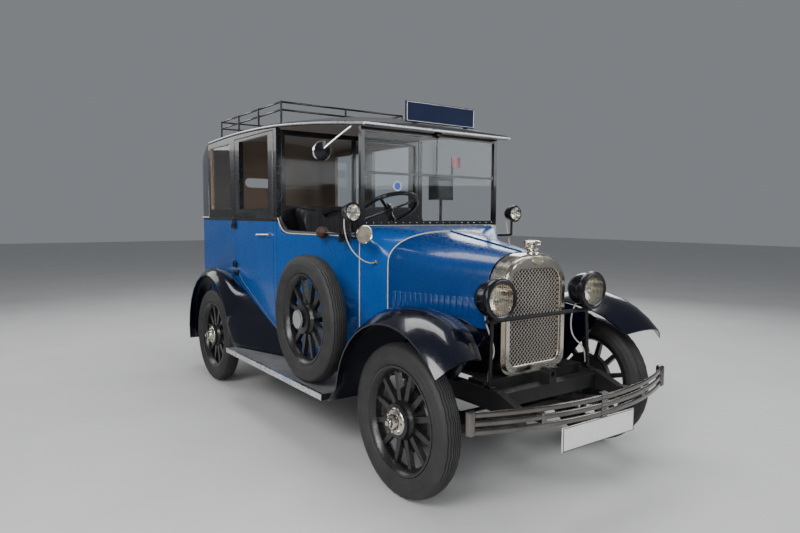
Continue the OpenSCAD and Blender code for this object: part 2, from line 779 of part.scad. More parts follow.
window_z0 = waist_z + 70;
window_z1 = window_z0 + window_h;
upper_hw = body_hw - 6;
stile = 92;

module body_tub() {
    head_z = window_z1 + 12;
    // a piece of the side above the waist
    module upper(x0, x1, z0, z1) {
        translate([x0, upper_hw - wall, z0]) cube([x1 - x0, wall, z1 - z0]);
    }
    // fixed halves of the door hinges
    color("#1465ad") both_sides() for (z = hinge_z) translate([hinge_x, hinge_y, z + 40 + seat_gap]) {
        cylinder(r = 6.5, h = 14);
        translate([-26, -18, 0]) cube([26, 18, 14]);
    }
    color("#1465ad") difference() {
        union() {
            lower_shell();
            both_sides() {
                // quarter panel round the quarter window, and the post behind the partition
                upper(hood_x, door_rear_x, waist_z - 4, window_z0);
                upper(hood_x, hood_x + 54, waist_z - 4, head_z);
                upper(door_rear_x - 110, door_rear_x, waist_z - 4, head_z);
                upper(door_front_x, part_x - 4, waist_z - 4, head_z);
                // rail under the roof edge
                plate_y(concat([[part_x - 4, head_z - 12], [hood_x, head_z - 12]],
                    [for (i = [0:6]) let (x = mix(hood_x, part_x - 4, i/6))
                        [x, roof_edge(x) - roof_t - 0.7]]), upper_hw - wall, upper_hw);
            }
        }
        for (s = [-1, 1]) mirror([0, s > 0 ? 0 : 1, 0])
            plate_y(door_outline(gap), body_hw - 140, body_hw + 20);
        // cut away for the rear wheels
        translate([rear_x, 0, tyre_r]) tube_y(tyre_r + 40, 4*body_hw);
    }
}

module door() {
    intersection() {
        union() {
            lower_shell();
            translate([door_rear_x, upper_hw - wall, waist_z - 1])
                cube([door_w, wall, door_top - waist_z + 1]);
        }
        difference() {
            plate_y(door_outline(0), body_hw - 140, body_hw + 20);
            plate_y([[door_rear_x + stile, window_z0], [door_front_x - stile, window_z0],
                [door_front_x - stile, window_z1], [door_rear_x + stile, window_z1]],
                body_hw - 160, body_hw + 40);
        }
    }
    // lever handle
    translate([handle_x, body_hw - 1, handle_z]) rotate([-90, 0, 0]) cylinder(r = 13, h = 22);
    rod([handle_x + 8, body_hw + 16, handle_z], [handle_x - 205, body_hw + 20, handle_z - 6], 8);
    // hinge leaves reach out to the pin line
    for (z = hinge_z) {
        translate([door_rear_x + 1, body_hw - 4, z]) cube([40, 18, 40]);
        translate([hinge_x, hinge_y - 6, z]) cube([20, 6, 40]);
        translate([hinge_x, hinge_y, z]) cylinder(r = 6.5, h = 40);
    }
}

module door_left() { color("#1465ad") door(); }
module door_right() { color("#1465ad") mirror([0, 1, 0]) door(); }

// Fixed panel beside the driver, and the low edge of the luggage platform
module side_panel() {
    x0 = part_x + 2;
    x1 = screen_x - 2;
    function section(x, hw, tuck) = [for (p = [[hw - 46*tuck, sill_z], [hw - 14*tuck, 640], [hw, 880],
        [hw, waist_z], [hw - wall, waist_z], [hw - wall, 880], [hw - wall - 14*tuck, 640],
        [hw - wall - 46*tuck, sill_z]]) [x, p[0], p[1]]];
    module side() {
        loft([section(x0, body_hw, 1), section(x1, screen_hw, 0)], sheet = true);
    }
    color("#1465ad") {
        mirror([0, 1, 0]) intersection() {
            side();
            plate_y([[x0 - 5, sill_z - 5], [x1 + 5, sill_z - 5], [x1 + 5, cut_z], [x0 + 90, cut_z],
                [x0 + 45, cut_z + 18], [x0 + 20, waist_z + 5], [x0 - 5, waist_z + 5]],
                screen_hw - 140, body_hw + 20);
        }
        intersection() {
            side();
            translate([x0 - 5, 0, sill_z - 5]) cube([x1 - x0 + 10, body_hw + 20, floor_z + 65 - sill_z]);
        }
    }
}

module partition() {
    top = roof_edge(part_x) - roof_t - 8;
    hw = body_hw - wall - 8;
    t = 34;
    z0 = floor_z + 0.5;
    half = concat([for (z = [z0, 640, 880]) [turned_hw(z) - wall - 2, z]], [[hw, waist_z + 90]]);
    color("#1b5f9e") translate([part_x - t - 6, 0, 0]) {
        rotate([90, 0, 90]) linear_extrude(t)
            polygon(concat(half, [for (i = [3:-1:0]) [-half[i][0], half[i][1]]]));
        for (y = [-hw, hw - 30]) translate([0, y, waist_z]) cube([t, 30, top - waist_z]);
        translate([0, -12, waist_z]) cube([t, 24, top - waist_z]);
        translate([0, -hw, top - 36]) cube([t, 2*hw, 36]);
    }
}

function roof_ring(x) = let (hw = roof_hw(x), m = 14)
    concat([for (j = [0:m]) let (y = mix(-hw, hw, j/m)) [x, y, roof_top(x, y)]],
        [for (j = [m:-1:0]) let (y = mix(-hw, hw, j/m)) [x, y, roof_top(x, y) - roof_t]]);

module roof() {
    color("#0d0f14") loft([for (i = [0:12]) roof_ring(mix(hood_x + 2, roof_front_x, i/12))],
        sheet = true);
}

// Folding hood over the rear seats: a skin from the roof down to the waist
hood_t = 22;
hood_corner = 150;
hood_round = 190;

// Level outline of the hood, with its back pulled forward by the given amount
module hood_slice(z, inset, pull) {
    hw = body_hw - 8 - inset - pull*0.12;
    xr = tail_x + 8 + inset + pull;
    r = hood_corner - inset;
    x1 = inset > 0 ? hood_x + 1 : hood_x - 1;
    translate([0, 0, z]) linear_extrude(1) polygon(concat([[x1, hw], [x1, -hw]],
        arc_points(xr + r, -hw + r, r, 270, 180, 6), arc_points(xr + r, hw - r, r, 180, 90, 6)));
}

module hood_form(inset) {
    top = roof_edge(hood_x) - inset;
    hw = roof_hw(hood_x) - inset;
    x1 = inset > 0 ? hood_x : hood_x - 2;
    hull() {
        hood_slice(waist_z + (inset > 0 ? -2 : 0.5), inset, 0);
        for (a = [0:22.5:67.5])
            hood_slice(top - hood_round*(1 - sin(a)) - 1, inset, hood_round*(1 - cos(a)));
        translate([x1, 0, 0]) rotate([90, 0, 90]) linear_extrude(1)
            polygon(concat([[hw, waist_z + 1], [-hw, waist_z + 1]], [for (j = [0:12])
                let (y = mix(-hw, hw, j/12)) [y, top + roof_crown*(1 - y*y/(hw*hw))]]));
        translate([tail_x + 40 + hood_round + inset, 0, 0]) rotate([90, 0, 90]) linear_extrude(1)
            polygon([for (j = [0:12]) let (y = mix(-hw + 150, hw - 150, j/12))
                [y, top + (roof_crown - 12)*(1 - y*y/(hw*hw)) - 4]]);
    }
}

module landau_hood() {
    color("#5b6068") difference() {
        hood_form(0);
        hood_form(hood_t);
        // back window
        translate([tail_x - 20, 0, waist_z + 330]) rotate([0, 90, 0]) linear_extrude(120) {
            square([90, 300], center = true);
            for (s = [-1, 1]) translate([0, s*150]) circle(r = 45);
        }
    }
}

module roof_rack() {
    x1 = part_x - 140;
    x0 = hood_x + 60;
    hw = 530;
    r = 7;
    z1 = roof_edge_z + 155;
    color("#0b0b0d") {
        for (z = [z1, z1 - 55]) {
            for (s = [-1, 1]) rod([x0, s*hw, z], [x1, s*hw, z], r);
            for (x = [x0, x1]) rod([x, -hw, z], [x, hw, z], r);
        }
        for (x = [x0, mix(x0, x1, 1/3), mix(x0, x1, 2/3), x1]) for (s = [-1, 1])
            rod([x, s*hw, roof_top(x, hw - r - 1) + seat_gap], [x, s*hw, z1 + r - 0.5], r + 1);
        for (x = [x0, x1]) rod([x, 0, roof_top(x, 0) + seat_gap], [x, 0, z1 + r - 0.5], r + 1);
    }
}

module sign_board() {
    z0 = roof_edge(roof_front_x - 30) + 24;
    color("#10182c") translate([roof_front_x - 34, 10, z0]) {
        translate([-7, -268, 0]) cube([14, 536, 122]);
        for (s = [-1, 1]) translate([-7, s*200 - 15, -6.5]) cube([14, 30, 12]);
    }
}

module driver_seat() {
    x0 = part_x + 16;
    y0 = -545;
    color("#15161a") {
        translate([x0 + 40, y0 + 12, floor_z + 0.5]) cube([400, 480, 201]);
        translate([x0 + 30, y0, floor_z + 201]) cube([450, 510, 120]);
        translate([x0, y0, floor_z + 300]) cube([110, 510, 600]);
    }
}

module passenger_seat() {
    x0 = tail_x + wall + 56;
    hw = body_hw - wall - 40;
    color("#6d5a48") {
        translate([x0 + 60, -hw + 60, floor_z + 0.5]) cube([480, 2*hw - 120, 191]);
        translate([x0 + 60, -hw + 10, floor_z + 191]) cube([520, 2*hw - 20, 130]);
        translate([x0, -hw + 10, floor_z + 290]) cube([150, 2*hw - 20, 480]);
    }
}

// ---------------------------------------------------------------- controls

module steering_column() {
    l = (steer_z - rail_z - 110)/cos(steer_tilt);
    color("#1a1b1f") {
        translate([steer_x, steer_y, steer_z]) rotate([0, 180 - steer_tilt, 0]) difference() {
            translate([0, 0, 30]) cylinder(r = column_r, h = l - 30);
            translate([0, 0, 29]) cylinder(r = 10, h = 60);
        }
        bx = steer_x + (steer_z - rail_z - 110)*tan(steer_tilt);
        translate([bx - 60, seat_gap + rail_w/2 - rail_y, rail_z + 45])
            cube([120, rail_y - rail_w/2 + steer_y + 45, 85]);
    }
}

module steering_wheel() {
    color("#101010") translate([steer_x, steer_y, steer_z]) rotate([0, -steer_tilt, 0]) {
        rotate_extrude($fn = 64) translate([steer_r - 13, 0]) circle(r = 13, $fn = 20);
        translate([0, 0, -26]) cylinder(r = 30, h = 40);
        translate([0, 0, -80]) cylinder(r = 9.9, h = 60);
        for (i = [0:3]) rotate([0, 0, 45 + 90*i]) translate([20, -9, -14]) cube([steer_r - 36, 18, 8]);
    }
}

module headlamps() {
    bar_z = lamp_z - lamp_r - 8;
    lamp_x = front_x + 282;
    color("#0b0b0d") {
        both_sides() translate([lamp_x, lamp_hy, lamp_z]) rotate([0, -90, 0]) {
            rotate_extrude($fn = 48) polygon(concat(
                [[0, 0], [lamp_r - 14, 2], [lamp_r, 4], [lamp_r, 26], [lamp_r - 8, 40]],
                [for (a = [15:15:90]) [(lamp_r - 8)*cos(a), 40 + 120*sin(a)]]));
        }
        both_sides() rod([lamp_x - 60, lamp_hy, bar_z], [lamp_x - 60, lamp_hy, lamp_z - lamp_r + 14], 16);
        rod([lamp_x - 60, -lamp_hy - 40, bar_z], [lamp_x - 60, lamp_hy + 40, bar_z], 11);
        // stays down to the frame
        both_sides() {
            rod([lamp_x - 60, lamp_hy + 10, bar_z], [front_x + 230, rail_y, rail_top + 8], 9);
            translate([front_x + 205, rail_y - 18, rail_top + seat_gap]) cube([50, 36, 10]);
        }
    }
}

module side_lamps() {
    x = front_x - 595;
    hw = body_hw;
    z = 1380;
    foot_x = screen_x + 14;
    foot_y = mix(screen_hw, bonnet_hw_rear, (foot_x - screen_x)/(dash_x - screen_x)) + 0.5;
    color("#0b0b0d") both_sides() {
        translate([x, hw, z]) rotate([0, -90, 0])
            rotate_extrude($fn = 40) polygon(concat([[0, 0], [48, 2], [56, 4], [56, 20], [50, 32]],
                [for (a = [15:15:90]) [50*cos(a), 32 + 58*sin(a)]]));
        rod([x - 40, hw, z - 44], [x - 40, hw, z - 150], 7);
        rod([x - 40, hw, z - 145], [foot_x, foot_y, z - 145], 8);
    }
}

module bulb_horn() {
    z = cut_z + 18;
    y = -side_hw(screen_x - 300) - 38 - 4.6;   // the bulb clears the side
    color("#3a2a20") {
        translate([screen_x - 300, y, z]) rotate([0, 90, 0]) rotate_extrude($fn = 32)
            polygon([for (a = [-90:15:90]) [38*cos(a), 38*sin(a)]]);
        rod([screen_x - 280, y, z], [screen_x + 120, y, z], 9);
        translate([screen_x + 110, y, z]) rotate([0, 90, 0]) cylinder(r1 = 12, r2 = 47, h = 70, $fn = 40);
        translate([screen_x + 179, y, z]) rotate([0, 90, 0]) cylinder(r = 50, h = 10, $fn = 40);
        // clamp on the body side
        translate([screen_x - 80, y - 14, cut_z - 34])
            cube([24, -side_hw(screen_x - 80) - seat_gap - y + 14, 68]);
    }
}

module mirror_piece() {
    c = [screen_x - 150, -700, 1735];
    x = screen_x - 60;
    y = 12 - roof_hw(x);
    top = [x, y, roof_top(x, y) - roof_t - 6];
    color("#c8c8c8") {
        translate(c) rotate([0, -80, 0]) cylinder(r = 58, h = 14, center = true);
        rod(c, top, 6);
    }
}

module taximeter() {
    x = screen_x - 180;
    color("#23201d") {
        translate([x - 50, 150, 1470]) cube([100, 130, 165]);
        rod([x, 215, waist_z - 70], [x, 215, 1471], 9);
        rod([x, 279, 1600], [x, 316, 1600], 8);
        rod([x, 312, 1592], [x, 312, 1740], 7);
        rod([x, 215, waist_z - 66], [screen_x - seat_gap, 215, waist_z - 66], 9);
    }
}

module bumper() {
    bar_h = 24;
    bar_t = 12;
    bow = 150;
    r = (bumper_hw*bumper_hw + bow*bow)/(2*bow);
    a = asin(bumper_hw/r);
    nose = front_x + 620;
    color("#b8b8ba") {
        for (z = [432, 470, 508]) translate([nose - r, 0, z]) {
            rotate([0, 0, -a]) rotate_extrude(angle = 2*a, $fn = 180)
                translate([r - bar_t, 0]) square([bar_t, bar_h]);
        }
        for (s = [-1, 1]) {
            translate([nose - bow - 8, s*(bumper_hw - 6), 432]) cylinder(r = 22, h = 100);
            translate([front_x + 510 + seat_gap, s*rail_y - 16, 452]) cube([77, 32, 46]);
        }
        translate([nose - 26, -22, 422]) cube([26, 44, 120]);
    }
}

module number_plates() {
    color("#e8e8e6") {
        translate([front_x + 604, -285, 422 - 112 - seat_gap]) cube([8, 530, 112]);
        translate([tail_x - 70, -rail_y - 250, 470]) cube([8, 300, 110]);
    }
}

module pane(x, y, z, l, h) {
    translate([x, y, z]) cube([l, 5, h]);
}

module window_glass() {
    top = screen_top;
    base = screen_base + seat_gap;
    bar_z = mix(base, top, 0.53);
    ph = body_hw - wall - 8;
    ptop = roof_edge(part_x) - roof_t - 44;
    color("#b8d8e8") {
        for (z = [[base + 26.5, bar_z - 0.5], [bar_z + 14.5, top - 26.5]])
            translate([screen_x + 2, -screen_hw + 34, z[0]]) cube([5, 2*screen_hw - 68, z[1] - z[0]]);
        for (s = [-1, 1]) mirror([0, s > 0 ? 0 : 1, 0])
            pane(hood_x + 55, upper_hw - wall/2, window_z0 + 0.5,
                door_rear_x - 110 - hood_x - 56, window_h - 1);
        for (s = [-1, 1]) translate([part_x - 26, s > 0 ? 12.5 : -ph + 30.5, waist_z + 91])
            cube([5, ph - 43, ptop - waist_z - 91.5]);
    }
}

// ---------------------------------------------------------------- assembly

chassis_frame();
front_axle();
rear_axle();
leaf_springs();
knuckle_left();
knuckle_right();
track_rod();
engine_block();
drive_line();
exhaust();
radiator();
bonnet_left();
bonnet_right();
scuttle();
windscreen();
wings();
running_boards();
floor();
body_tub();
side_panel();
partition();
door_left();
door_right();
roof();
landau_hood();
roof_rack();
sign_board();
driver_seat();
passenger_seat();
steering_column();
steering_wheel();
headlamps();
side_lamps();
bulb_horn();
mirror_piece();  // mirror
taximeter();
bumper();
number_plates();
window_glass();
front_left_wheel();
front_left_tyre();
front_right_wheel();
front_right_tyre();
rear_left_wheel();
rear_left_tyre();
rear_right_wheel();
rear_right_tyre();
spare_wheel();
spare_tyre();
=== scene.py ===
import bpy, bmesh, math
from mathutils import Matrix, Vector


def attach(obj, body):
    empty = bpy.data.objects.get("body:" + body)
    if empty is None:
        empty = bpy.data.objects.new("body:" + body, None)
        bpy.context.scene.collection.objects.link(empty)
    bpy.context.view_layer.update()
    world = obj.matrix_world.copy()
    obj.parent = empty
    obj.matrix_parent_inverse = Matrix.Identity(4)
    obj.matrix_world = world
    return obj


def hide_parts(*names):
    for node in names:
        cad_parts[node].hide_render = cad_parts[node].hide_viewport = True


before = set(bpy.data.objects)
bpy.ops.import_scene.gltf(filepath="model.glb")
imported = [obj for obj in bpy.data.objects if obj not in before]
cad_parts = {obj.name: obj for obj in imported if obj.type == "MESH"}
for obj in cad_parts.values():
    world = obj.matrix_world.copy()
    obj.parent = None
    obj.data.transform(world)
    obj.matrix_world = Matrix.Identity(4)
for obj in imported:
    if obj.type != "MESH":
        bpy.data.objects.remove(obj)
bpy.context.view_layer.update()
scene = bpy.context.scene

# ---- camera and light

stage = {
    "cameraPlace": (3.781, -2.439, 1.360),
    "cameraYaw": 2.523,
    "cameraPitch": -0.081,
    "cameraRoll": 0.005,
    "lens": 27.9,
    "floorSize": 60.0,
    "floorColor": (0.62, 0.62, 0.61, 1),
    "skyColor": (0.80, 0.84, 0.90, 1),
    "skyStrength": 0.26,
}


def setCamera():
    yaw, pitch, roll = stage["cameraYaw"], stage["cameraPitch"], stage["cameraRoll"]
    ahead = Vector((math.cos(yaw)*math.cos(pitch), math.sin(yaw)*math.cos(pitch), math.sin(pitch)))
    right = ahead.cross(Vector((0, 0, 1))).normalized()
    up = right.cross(ahead)
    rolledRight = right*math.cos(roll) + up*math.sin(roll)
    rolledUp = up*math.cos(roll) - right*math.sin(roll)
    turn = Matrix((rolledRight, rolledUp, -ahead)).transposed()
    data = bpy.data.cameras.new("viewCamera")
    data.lens = stage["lens"]
    data.sensor_width = 36
    camera = bpy.data.objects.new("viewCamera", data)
    camera.matrix_world = Matrix.Translation(stage["cameraPlace"]) @ turn.to_4x4()
    scene.collection.objects.link(camera)
    scene.camera = camera


def softLight(name, place, aim, size, power, color=(1, 1, 1)):
    data = bpy.data.lights.new(name, "AREA")
    data.shape = "RECTANGLE"
    data.size, data.size_y = size
    data.energy = power
    data.color = color
    lamp = bpy.data.objects.new(name, data)
    lamp.location = place
    lamp.rotation_euler = (Vector(aim) - Vector(place)).to_track_quat("-Z", "Y").to_euler()
    scene.collection.objects.link(lamp)


setCamera()
softLight("keyLight", (3.6, -5.2, 4.6), (0.2, 0, 0.9), (3.4, 2.2), 300)
softLight("topLight", (-0.4, 0.2, 6.0), (-0.2, 0, 0), (5.0, 2.2), 230)
softLight("fillLight", (5.6, 3.6, 3.0), (0.6, 0, 0.8), (3.0, 2.4), 120, (0.92, 0.96, 1))
softLight("backLight", (-5.2, -2.8, 3.4), (-0.6, 0, 1), (3.0, 2.2), 60)
softLight("frontLight", (4.6, -3.6, 1.9), (0.0, -0.2, 1.25), (2.4, 1.2), 75)
softLight("farLight", (-2.5, 5.4, 3.6), (-0.4, 0, 1), (4.0, 2.0), 120)

# ---- shader groups


def newGroup(name, inputs, outputs):
    group = bpy.data.node_groups.new(name, "ShaderNodeTree")
    for socket, kind, value in inputs:
        made = group.interface.new_socket(socket, in_out="INPUT", socket_type=kind)
        made.default_value = value
    for socket, kind in outputs:
        group.interface.new_socket(socket, in_out="OUTPUT", socket_type=kind)
    return group, group.nodes.new("NodeGroupInput"), group.nodes.new("NodeGroupOutput")


def mathNode(tree, operation, a, b=None):
    made = tree.nodes.new("ShaderNodeMath")
    made.operation = operation
    for socket, value in zip(made.inputs, (a, b)):
        if value is None:
            continue
        if isinstance(value, (int, float)):
            socket.default_value = value
        else:
            tree.links.new(value, socket)
    return made.outputs[0]


def objectPlace(tree):
    return tree.nodes.new("ShaderNodeTexCoord").outputs["Object"]


def buildSurfaceField():
    # broad patches, fine grain and small specks that any finish can share
    group, fed, out = newGroup("surfaceField", [("Scale", "NodeSocketFloat", 6.0)],
                               [("Broad", "NodeSocketFloat"), ("Fine", "NodeSocketFloat"),
                                ("Speck", "NodeSocketFloat")])
    place = objectPlace(group)
    for output, factor, detail in (("Broad", 1.0, 3.0), ("Fine", 9.0, 5.0), ("Speck", 60.0, 2.0)):
        noise = group.nodes.new("ShaderNodeTexNoise")
        noise.inputs["Detail"].default_value = detail
        group.links.new(place, noise.inputs["Vector"])
        group.links.new(mathNode(group, "MULTIPLY", fed.outputs["Scale"], factor), noise.inputs["Scale"])
        group.links.new(noise.outputs["Fac"], out.inputs[output])
    return group


def buildWeave():
    # crossing threads on whichever plane the cloth lies in
    group, fed, out = newGroup("weave", [("Threads", "NodeSocketFloat", 900.0)],
                               [("Height", "NodeSocketFloat"), ("Shade", "NodeSocketFloat")])
    place = objectPlace(group)
    split = group.nodes.new("ShaderNodeSeparateXYZ")
    group.links.new(place, split.inputs[0])
    waves = []
    for axis in range(3):
        stretched = mathNode(group, "MULTIPLY", split.outputs[axis], fed.outputs["Threads"])
        waves.append(mathNode(group, "ABSOLUTE", mathNode(group, "SINE", stretched)))
    height = mathNode(group, "ADD", mathNode(group, "ADD", waves[0], waves[1]), waves[2])
    height = mathNode(group, "MULTIPLY", height, 0.4)
    group.links.new(height, out.inputs["Height"])
    noise = group.nodes.new("ShaderNodeTexNoise")
    noise.inputs["Scale"].default_value = 14
    group.links.new(place, noise.inputs["Vector"])
    group.links.new(mathNode(group, "MULTIPLY", height, noise.outputs["Fac"]), out.inputs["Shade"])
    return group


def buildHide():
    # the pebbled grain of leather and rubber
    group, fed, out = newGroup("hideGrain", [("Scale", "NodeSocketFloat", 260.0)],
                               [("Height", "NodeSocketFloat")])
    place = objectPlace(group)
    cells = group.nodes.new("ShaderNodeTexVoronoi")
    cells.feature = "DISTANCE_TO_EDGE"
    group.links.new(place, cells.inputs["Vector"])
    group.links.new(fed.outputs["Scale"], cells.inputs["Scale"])
    group.links.new(cells.outputs["Distance"], out.inputs["Height"])
    return group


fieldGroup, weaveGroup, hideGroup = buildSurfaceField(), buildWeave(), buildHide()


def placeGroup(tree, group, **values):
    made = tree.nodes.new("ShaderNodeGroup")
    made.node_tree = group
    for socket, value in values.items():
        made.inputs[socket].default_value = value
    return made


def mixColor(tree, factor, first, second):
    made = tree.nodes.new("ShaderNodeMix")
    made.data_type = "RGBA"
    for index, value in ((0, factor), (6, first), (7, second)):
        if hasattr(value, "links"):
            tree.links.new(value, made.inputs[index])
        else:
            made.inputs[index].default_value = value if index == 0 else (*value[:3], 1)
    return made.outputs[2]


def ranged(tree, value, low, high, fromLow=0.3, fromHigh=0.7):
    made = tree.nodes.new("ShaderNodeMapRange")
    for socket, number in (("From Min", fromLow), ("From Max", fromHigh), ("To Min", low), ("To Max", high)):
        made.inputs[socket].default_value = number
    tree.links.new(value, made.inputs["Value"])
    return made.outputs["Result"]


def bumped(tree, height, strength, distance):
    made = tree.nodes.new("ShaderNodeBump")
    made.inputs["Strength"].default_value = strength
    made.inputs["Distance"].default_value = distance
    tree.links.new(height, made.inputs["Height"])
    return made.outputs["Normal"]


def newMaterial(name):
    material = bpy.data.materials.new(name)
    material.use_nodes = True
    return material, material.node_tree, material.node_tree.nodes["Principled BSDF"]


def makeFinish(name, color, second, rough, metallic=0.0, coat=0.0, scale=5.0, grain="fine",
               grainSize=900.0, bump=0.06, depth=0.0006, sheen=0.0, gloss=0.5):
    material, tree, shader = newMaterial(name)
    for socket, value in (("Metallic", metallic), ("Coat Weight", coat), ("Coat Roughness", 0.04),
                          ("Sheen Weight", sheen), ("Specular IOR Level", gloss)):
        shader.inputs[socket].default_value = value
    field = placeGroup(tree, fieldGroup, Scale=scale)
    tone = mixColor(tree, ranged(tree, field.outputs["Broad"], 0.0, 1.0), color, second)
    tree.links.new(ranged(tree, field.outputs["Fine"], rough[0], rough[1]), shader.inputs["Roughness"])
    if grain == "weave":
        cloth = placeGroup(tree, weaveGroup, Threads=grainSize)
        height = cloth.outputs["Height"]
        # the hollows between the threads are painted darker than the threads: painted shade where the weave
        # dips, on top of the bump
        threadShade = tuple(c*0.45 for c in color[:3])
        tone = mixColor(tree, ranged(tree, height, 0.75, 0.0, 0.2, 0.9), tone, threadShade)
    elif grain == "hide":
        height = placeGroup(tree, hideGroup, Scale=grainSize).outputs["Height"]
    else:
        height = field.outputs["Fine"] if grain == "fine" else field.outputs["Speck"]
    tree.links.new(tone, shader.inputs["Base Color"])
    tree.links.new(bumped(tree, height, bump, depth), shader.inputs["Normal"])
    return material


# slot, the two colours, roughness from and to, and the rest of what makeFinish takes
looks = {
    # the bonnet's blue is the coach blue at about half strength: painted shade for the light falling off
    # towards the front of the car
    "bonnetPaint": ("navy_paint", (0.0003, 0.036, 0.160), (0.0006, 0.042, 0.185), (0.22, 0.32),
                    dict(coat=0.35, bump=0.015, gloss=0.3)),
    "blackPaint": ("black_paint", (0.005, 0.005, 0.007), (0.008, 0.008, 0.010), (0.16, 0.28),
                   dict(coat=0.3, bump=0.015, gloss=0.3)),
    "wingPaint": ("navy_paint", (0.0015, 0.002, 0.007), (0.002, 0.003, 0.010), (0.14, 0.24),
                  dict(coat=0.4, bump=0.015, gloss=0.35)),
    "framePaint": ("chassis_black", (0.005, 0.005, 0.006), (0.014, 0.013, 0.012), (0.42, 0.62),
                   dict(scale=9, bump=0.2, gloss=0.35)),
    # the bumper nickel is the nickel darkened to about a third: painted shade standing in for the dark
    # surroundings that the bars reflect between their highlights
    "bumperNickel": ("nickel", (0.20, 0.185, 0.175), (0.14, 0.13, 0.12), (0.14, 0.26),
                     dict(metallic=1.0, scale=9, bump=0.03)),
    "nickel": ("nickel", (0.66, 0.62, 0.55), (0.58, 0.54, 0.47), (0.14, 0.26),
               dict(metallic=1.0, scale=7, bump=0.02)),
    "brightNickel": ("nickel", (0.78, 0.76, 0.72), (0.70, 0.68, 0.64), (0.08, 0.18),
                     dict(metallic=1.0, scale=7, bump=0.01)),
    "dullNickel": ("nickel", (0.44, 0.38, 0.30), (0.30, 0.25, 0.19), (0.35, 0.55),
                   dict(metallic=0.9, scale=30, bump=0.2)),
    "silverTrim": ("nickel", (0.72, 0.73, 0.74), (0.60, 0.61, 0.62), (0.22, 0.34),
                   dict(metallic=1.0, scale=9, bump=0.03)),
    "steel": ("steel", (0.10, 0.095, 0.09), (0.05, 0.045, 0.04), (0.40, 0.60),
              dict(metallic=0.8, scale=20, bump=0.25)),
    "castIron": ("cast_iron", (0.05, 0.052, 0.05), (0.028, 0.026, 0.024), (0.55, 0.75),
                 dict(metallic=0.5, scale=25, grain="speck", bump=0.5)),
    "tyreRubber": ("tyre", (0.016, 0.016, 0.017), (0.028, 0.027, 0.026), (0.55, 0.72),
                   dict(scale=12, bump=0.12)),
    "matRubber": ("board_rubber", (0.19, 0.19, 0.195), (0.13, 0.13, 0.135), (0.50, 0.68),
                  dict(scale=10, grain="speck", bump=0.3)),
    "blackLeather": ("black_leather", (0.010, 0.010, 0.012), (0.020, 0.019, 0.020), (0.30, 0.44),
                     dict(scale=8, grain="hide", grainSize=320, bump=0.14, depth=0.0005)),
    "hoodCloth": ("hood_cloth", (0.044, 0.049, 0.067), (0.034, 0.038, 0.053), (0.75, 0.92),
                  dict(scale=4, grain="weave", grainSize=1500, bump=0.35, depth=0.0005, sheen=0.1,
                       gloss=0.3)),
    "roofCloth": ("black_paint", (0.012, 0.013, 0.015), (0.022, 0.023, 0.026), (0.45, 0.62),
                  dict(scale=5, grain="hide", grainSize=420, bump=0.3)),
    "lining": ("brown_cloth", (0.30, 0.215, 0.165), (0.25, 0.18, 0.135), (0.80, 0.95),
               dict(scale=5, grain="weave", grainSize=1700, bump=0.3, depth=0.0004, sheen=0.3)),
    "seatCloth": ("brown_cloth", (0.22, 0.15, 0.105), (0.17, 0.115, 0.08), (0.80, 0.95),
                  dict(scale=6, grain="weave", grainSize=1300, bump=0.4, depth=0.0006, sheen=0.4)),
    "creamTrim": ("white_paint", (0.72, 0.68, 0.58), (0.62, 0.58, 0.48), (0.45, 0.60),
                  dict(scale=20, bump=0.15)),
    "creamWire": ("white_paint", (0.60, 0.57, 0.52), (0.48, 0.45, 0.40), (0.50, 0.65),
                  dict(scale=30, grain="weave", grainSize=2600, bump=0.4)),
    "whiteEnamel": ("white_paint", (0.80, 0.80, 0.78), (0.74, 0.74, 0.72), (0.18, 0.30),
                    dict(coat=0.6, bump=0.02)),
    "redPaint": ("dark_plastic", (0.48, 0.012, 0.010), (0.38, 0.010, 0.008), (0.25, 0.38),
                 dict(coat=0.5, bump=0.03)),
    "signPaint": ("navy_paint", (0.010, 0.016, 0.045), (0.013, 0.021, 0.055), (0.60, 0.75),
                  dict(bump=0.03, gloss=0.15)),
    "bulbRubber": ("black_leather", (0.060, 0.028, 0.016), (0.035, 0.016, 0.010), (0.55, 0.70),
                   dict(scale=14, grain="hide", grainSize=240, bump=0.2)),
    "wheelRim": ("black_paint", (0.010, 0.010, 0.011), (0.014, 0.013, 0.013), (0.24, 0.36),
                 dict(scale=12, bump=0.03)),
    "darkCore": ("nickel", (0.018, 0.017, 0.016), (0.030, 0.028, 0.026), (0.50, 0.70),
                 dict(metallic=0.5, scale=18, grain="speck", bump=0.5)),
    "meshBrass": ("nickel", (0.78, 0.72, 0.66), (0.64, 0.58, 0.52), (0.34, 0.50),
                  dict(metallic=0.85, scale=30, bump=0.1)),
    "spareDisc": ("nickel", (0.34, 0.35, 0.36), (0.28, 0.29, 0.30), (0.35, 0.50),
                  dict(metallic=0.3, scale=16, bump=0.08)),
    "dialFace": ("white_paint", (0.62, 0.60, 0.54), (0.55, 0.53, 0.47), (0.35, 0.50), dict(scale=20)),
    "discBlue": ("white_paint", (0.02, 0.06, 0.42), (0.03, 0.08, 0.50), (0.35, 0.50), dict(scale=40)),
}
finishes = {name: makeFinish(name, *look[1:4], **look[4]) for name, look in looks.items()}
slotOf = {name: look[0] for name, look in looks.items()}
slotOf.update(floorboards="floor_wood", clearGlass="glass", lampGlass="glass", coachPaint="blue_paint")


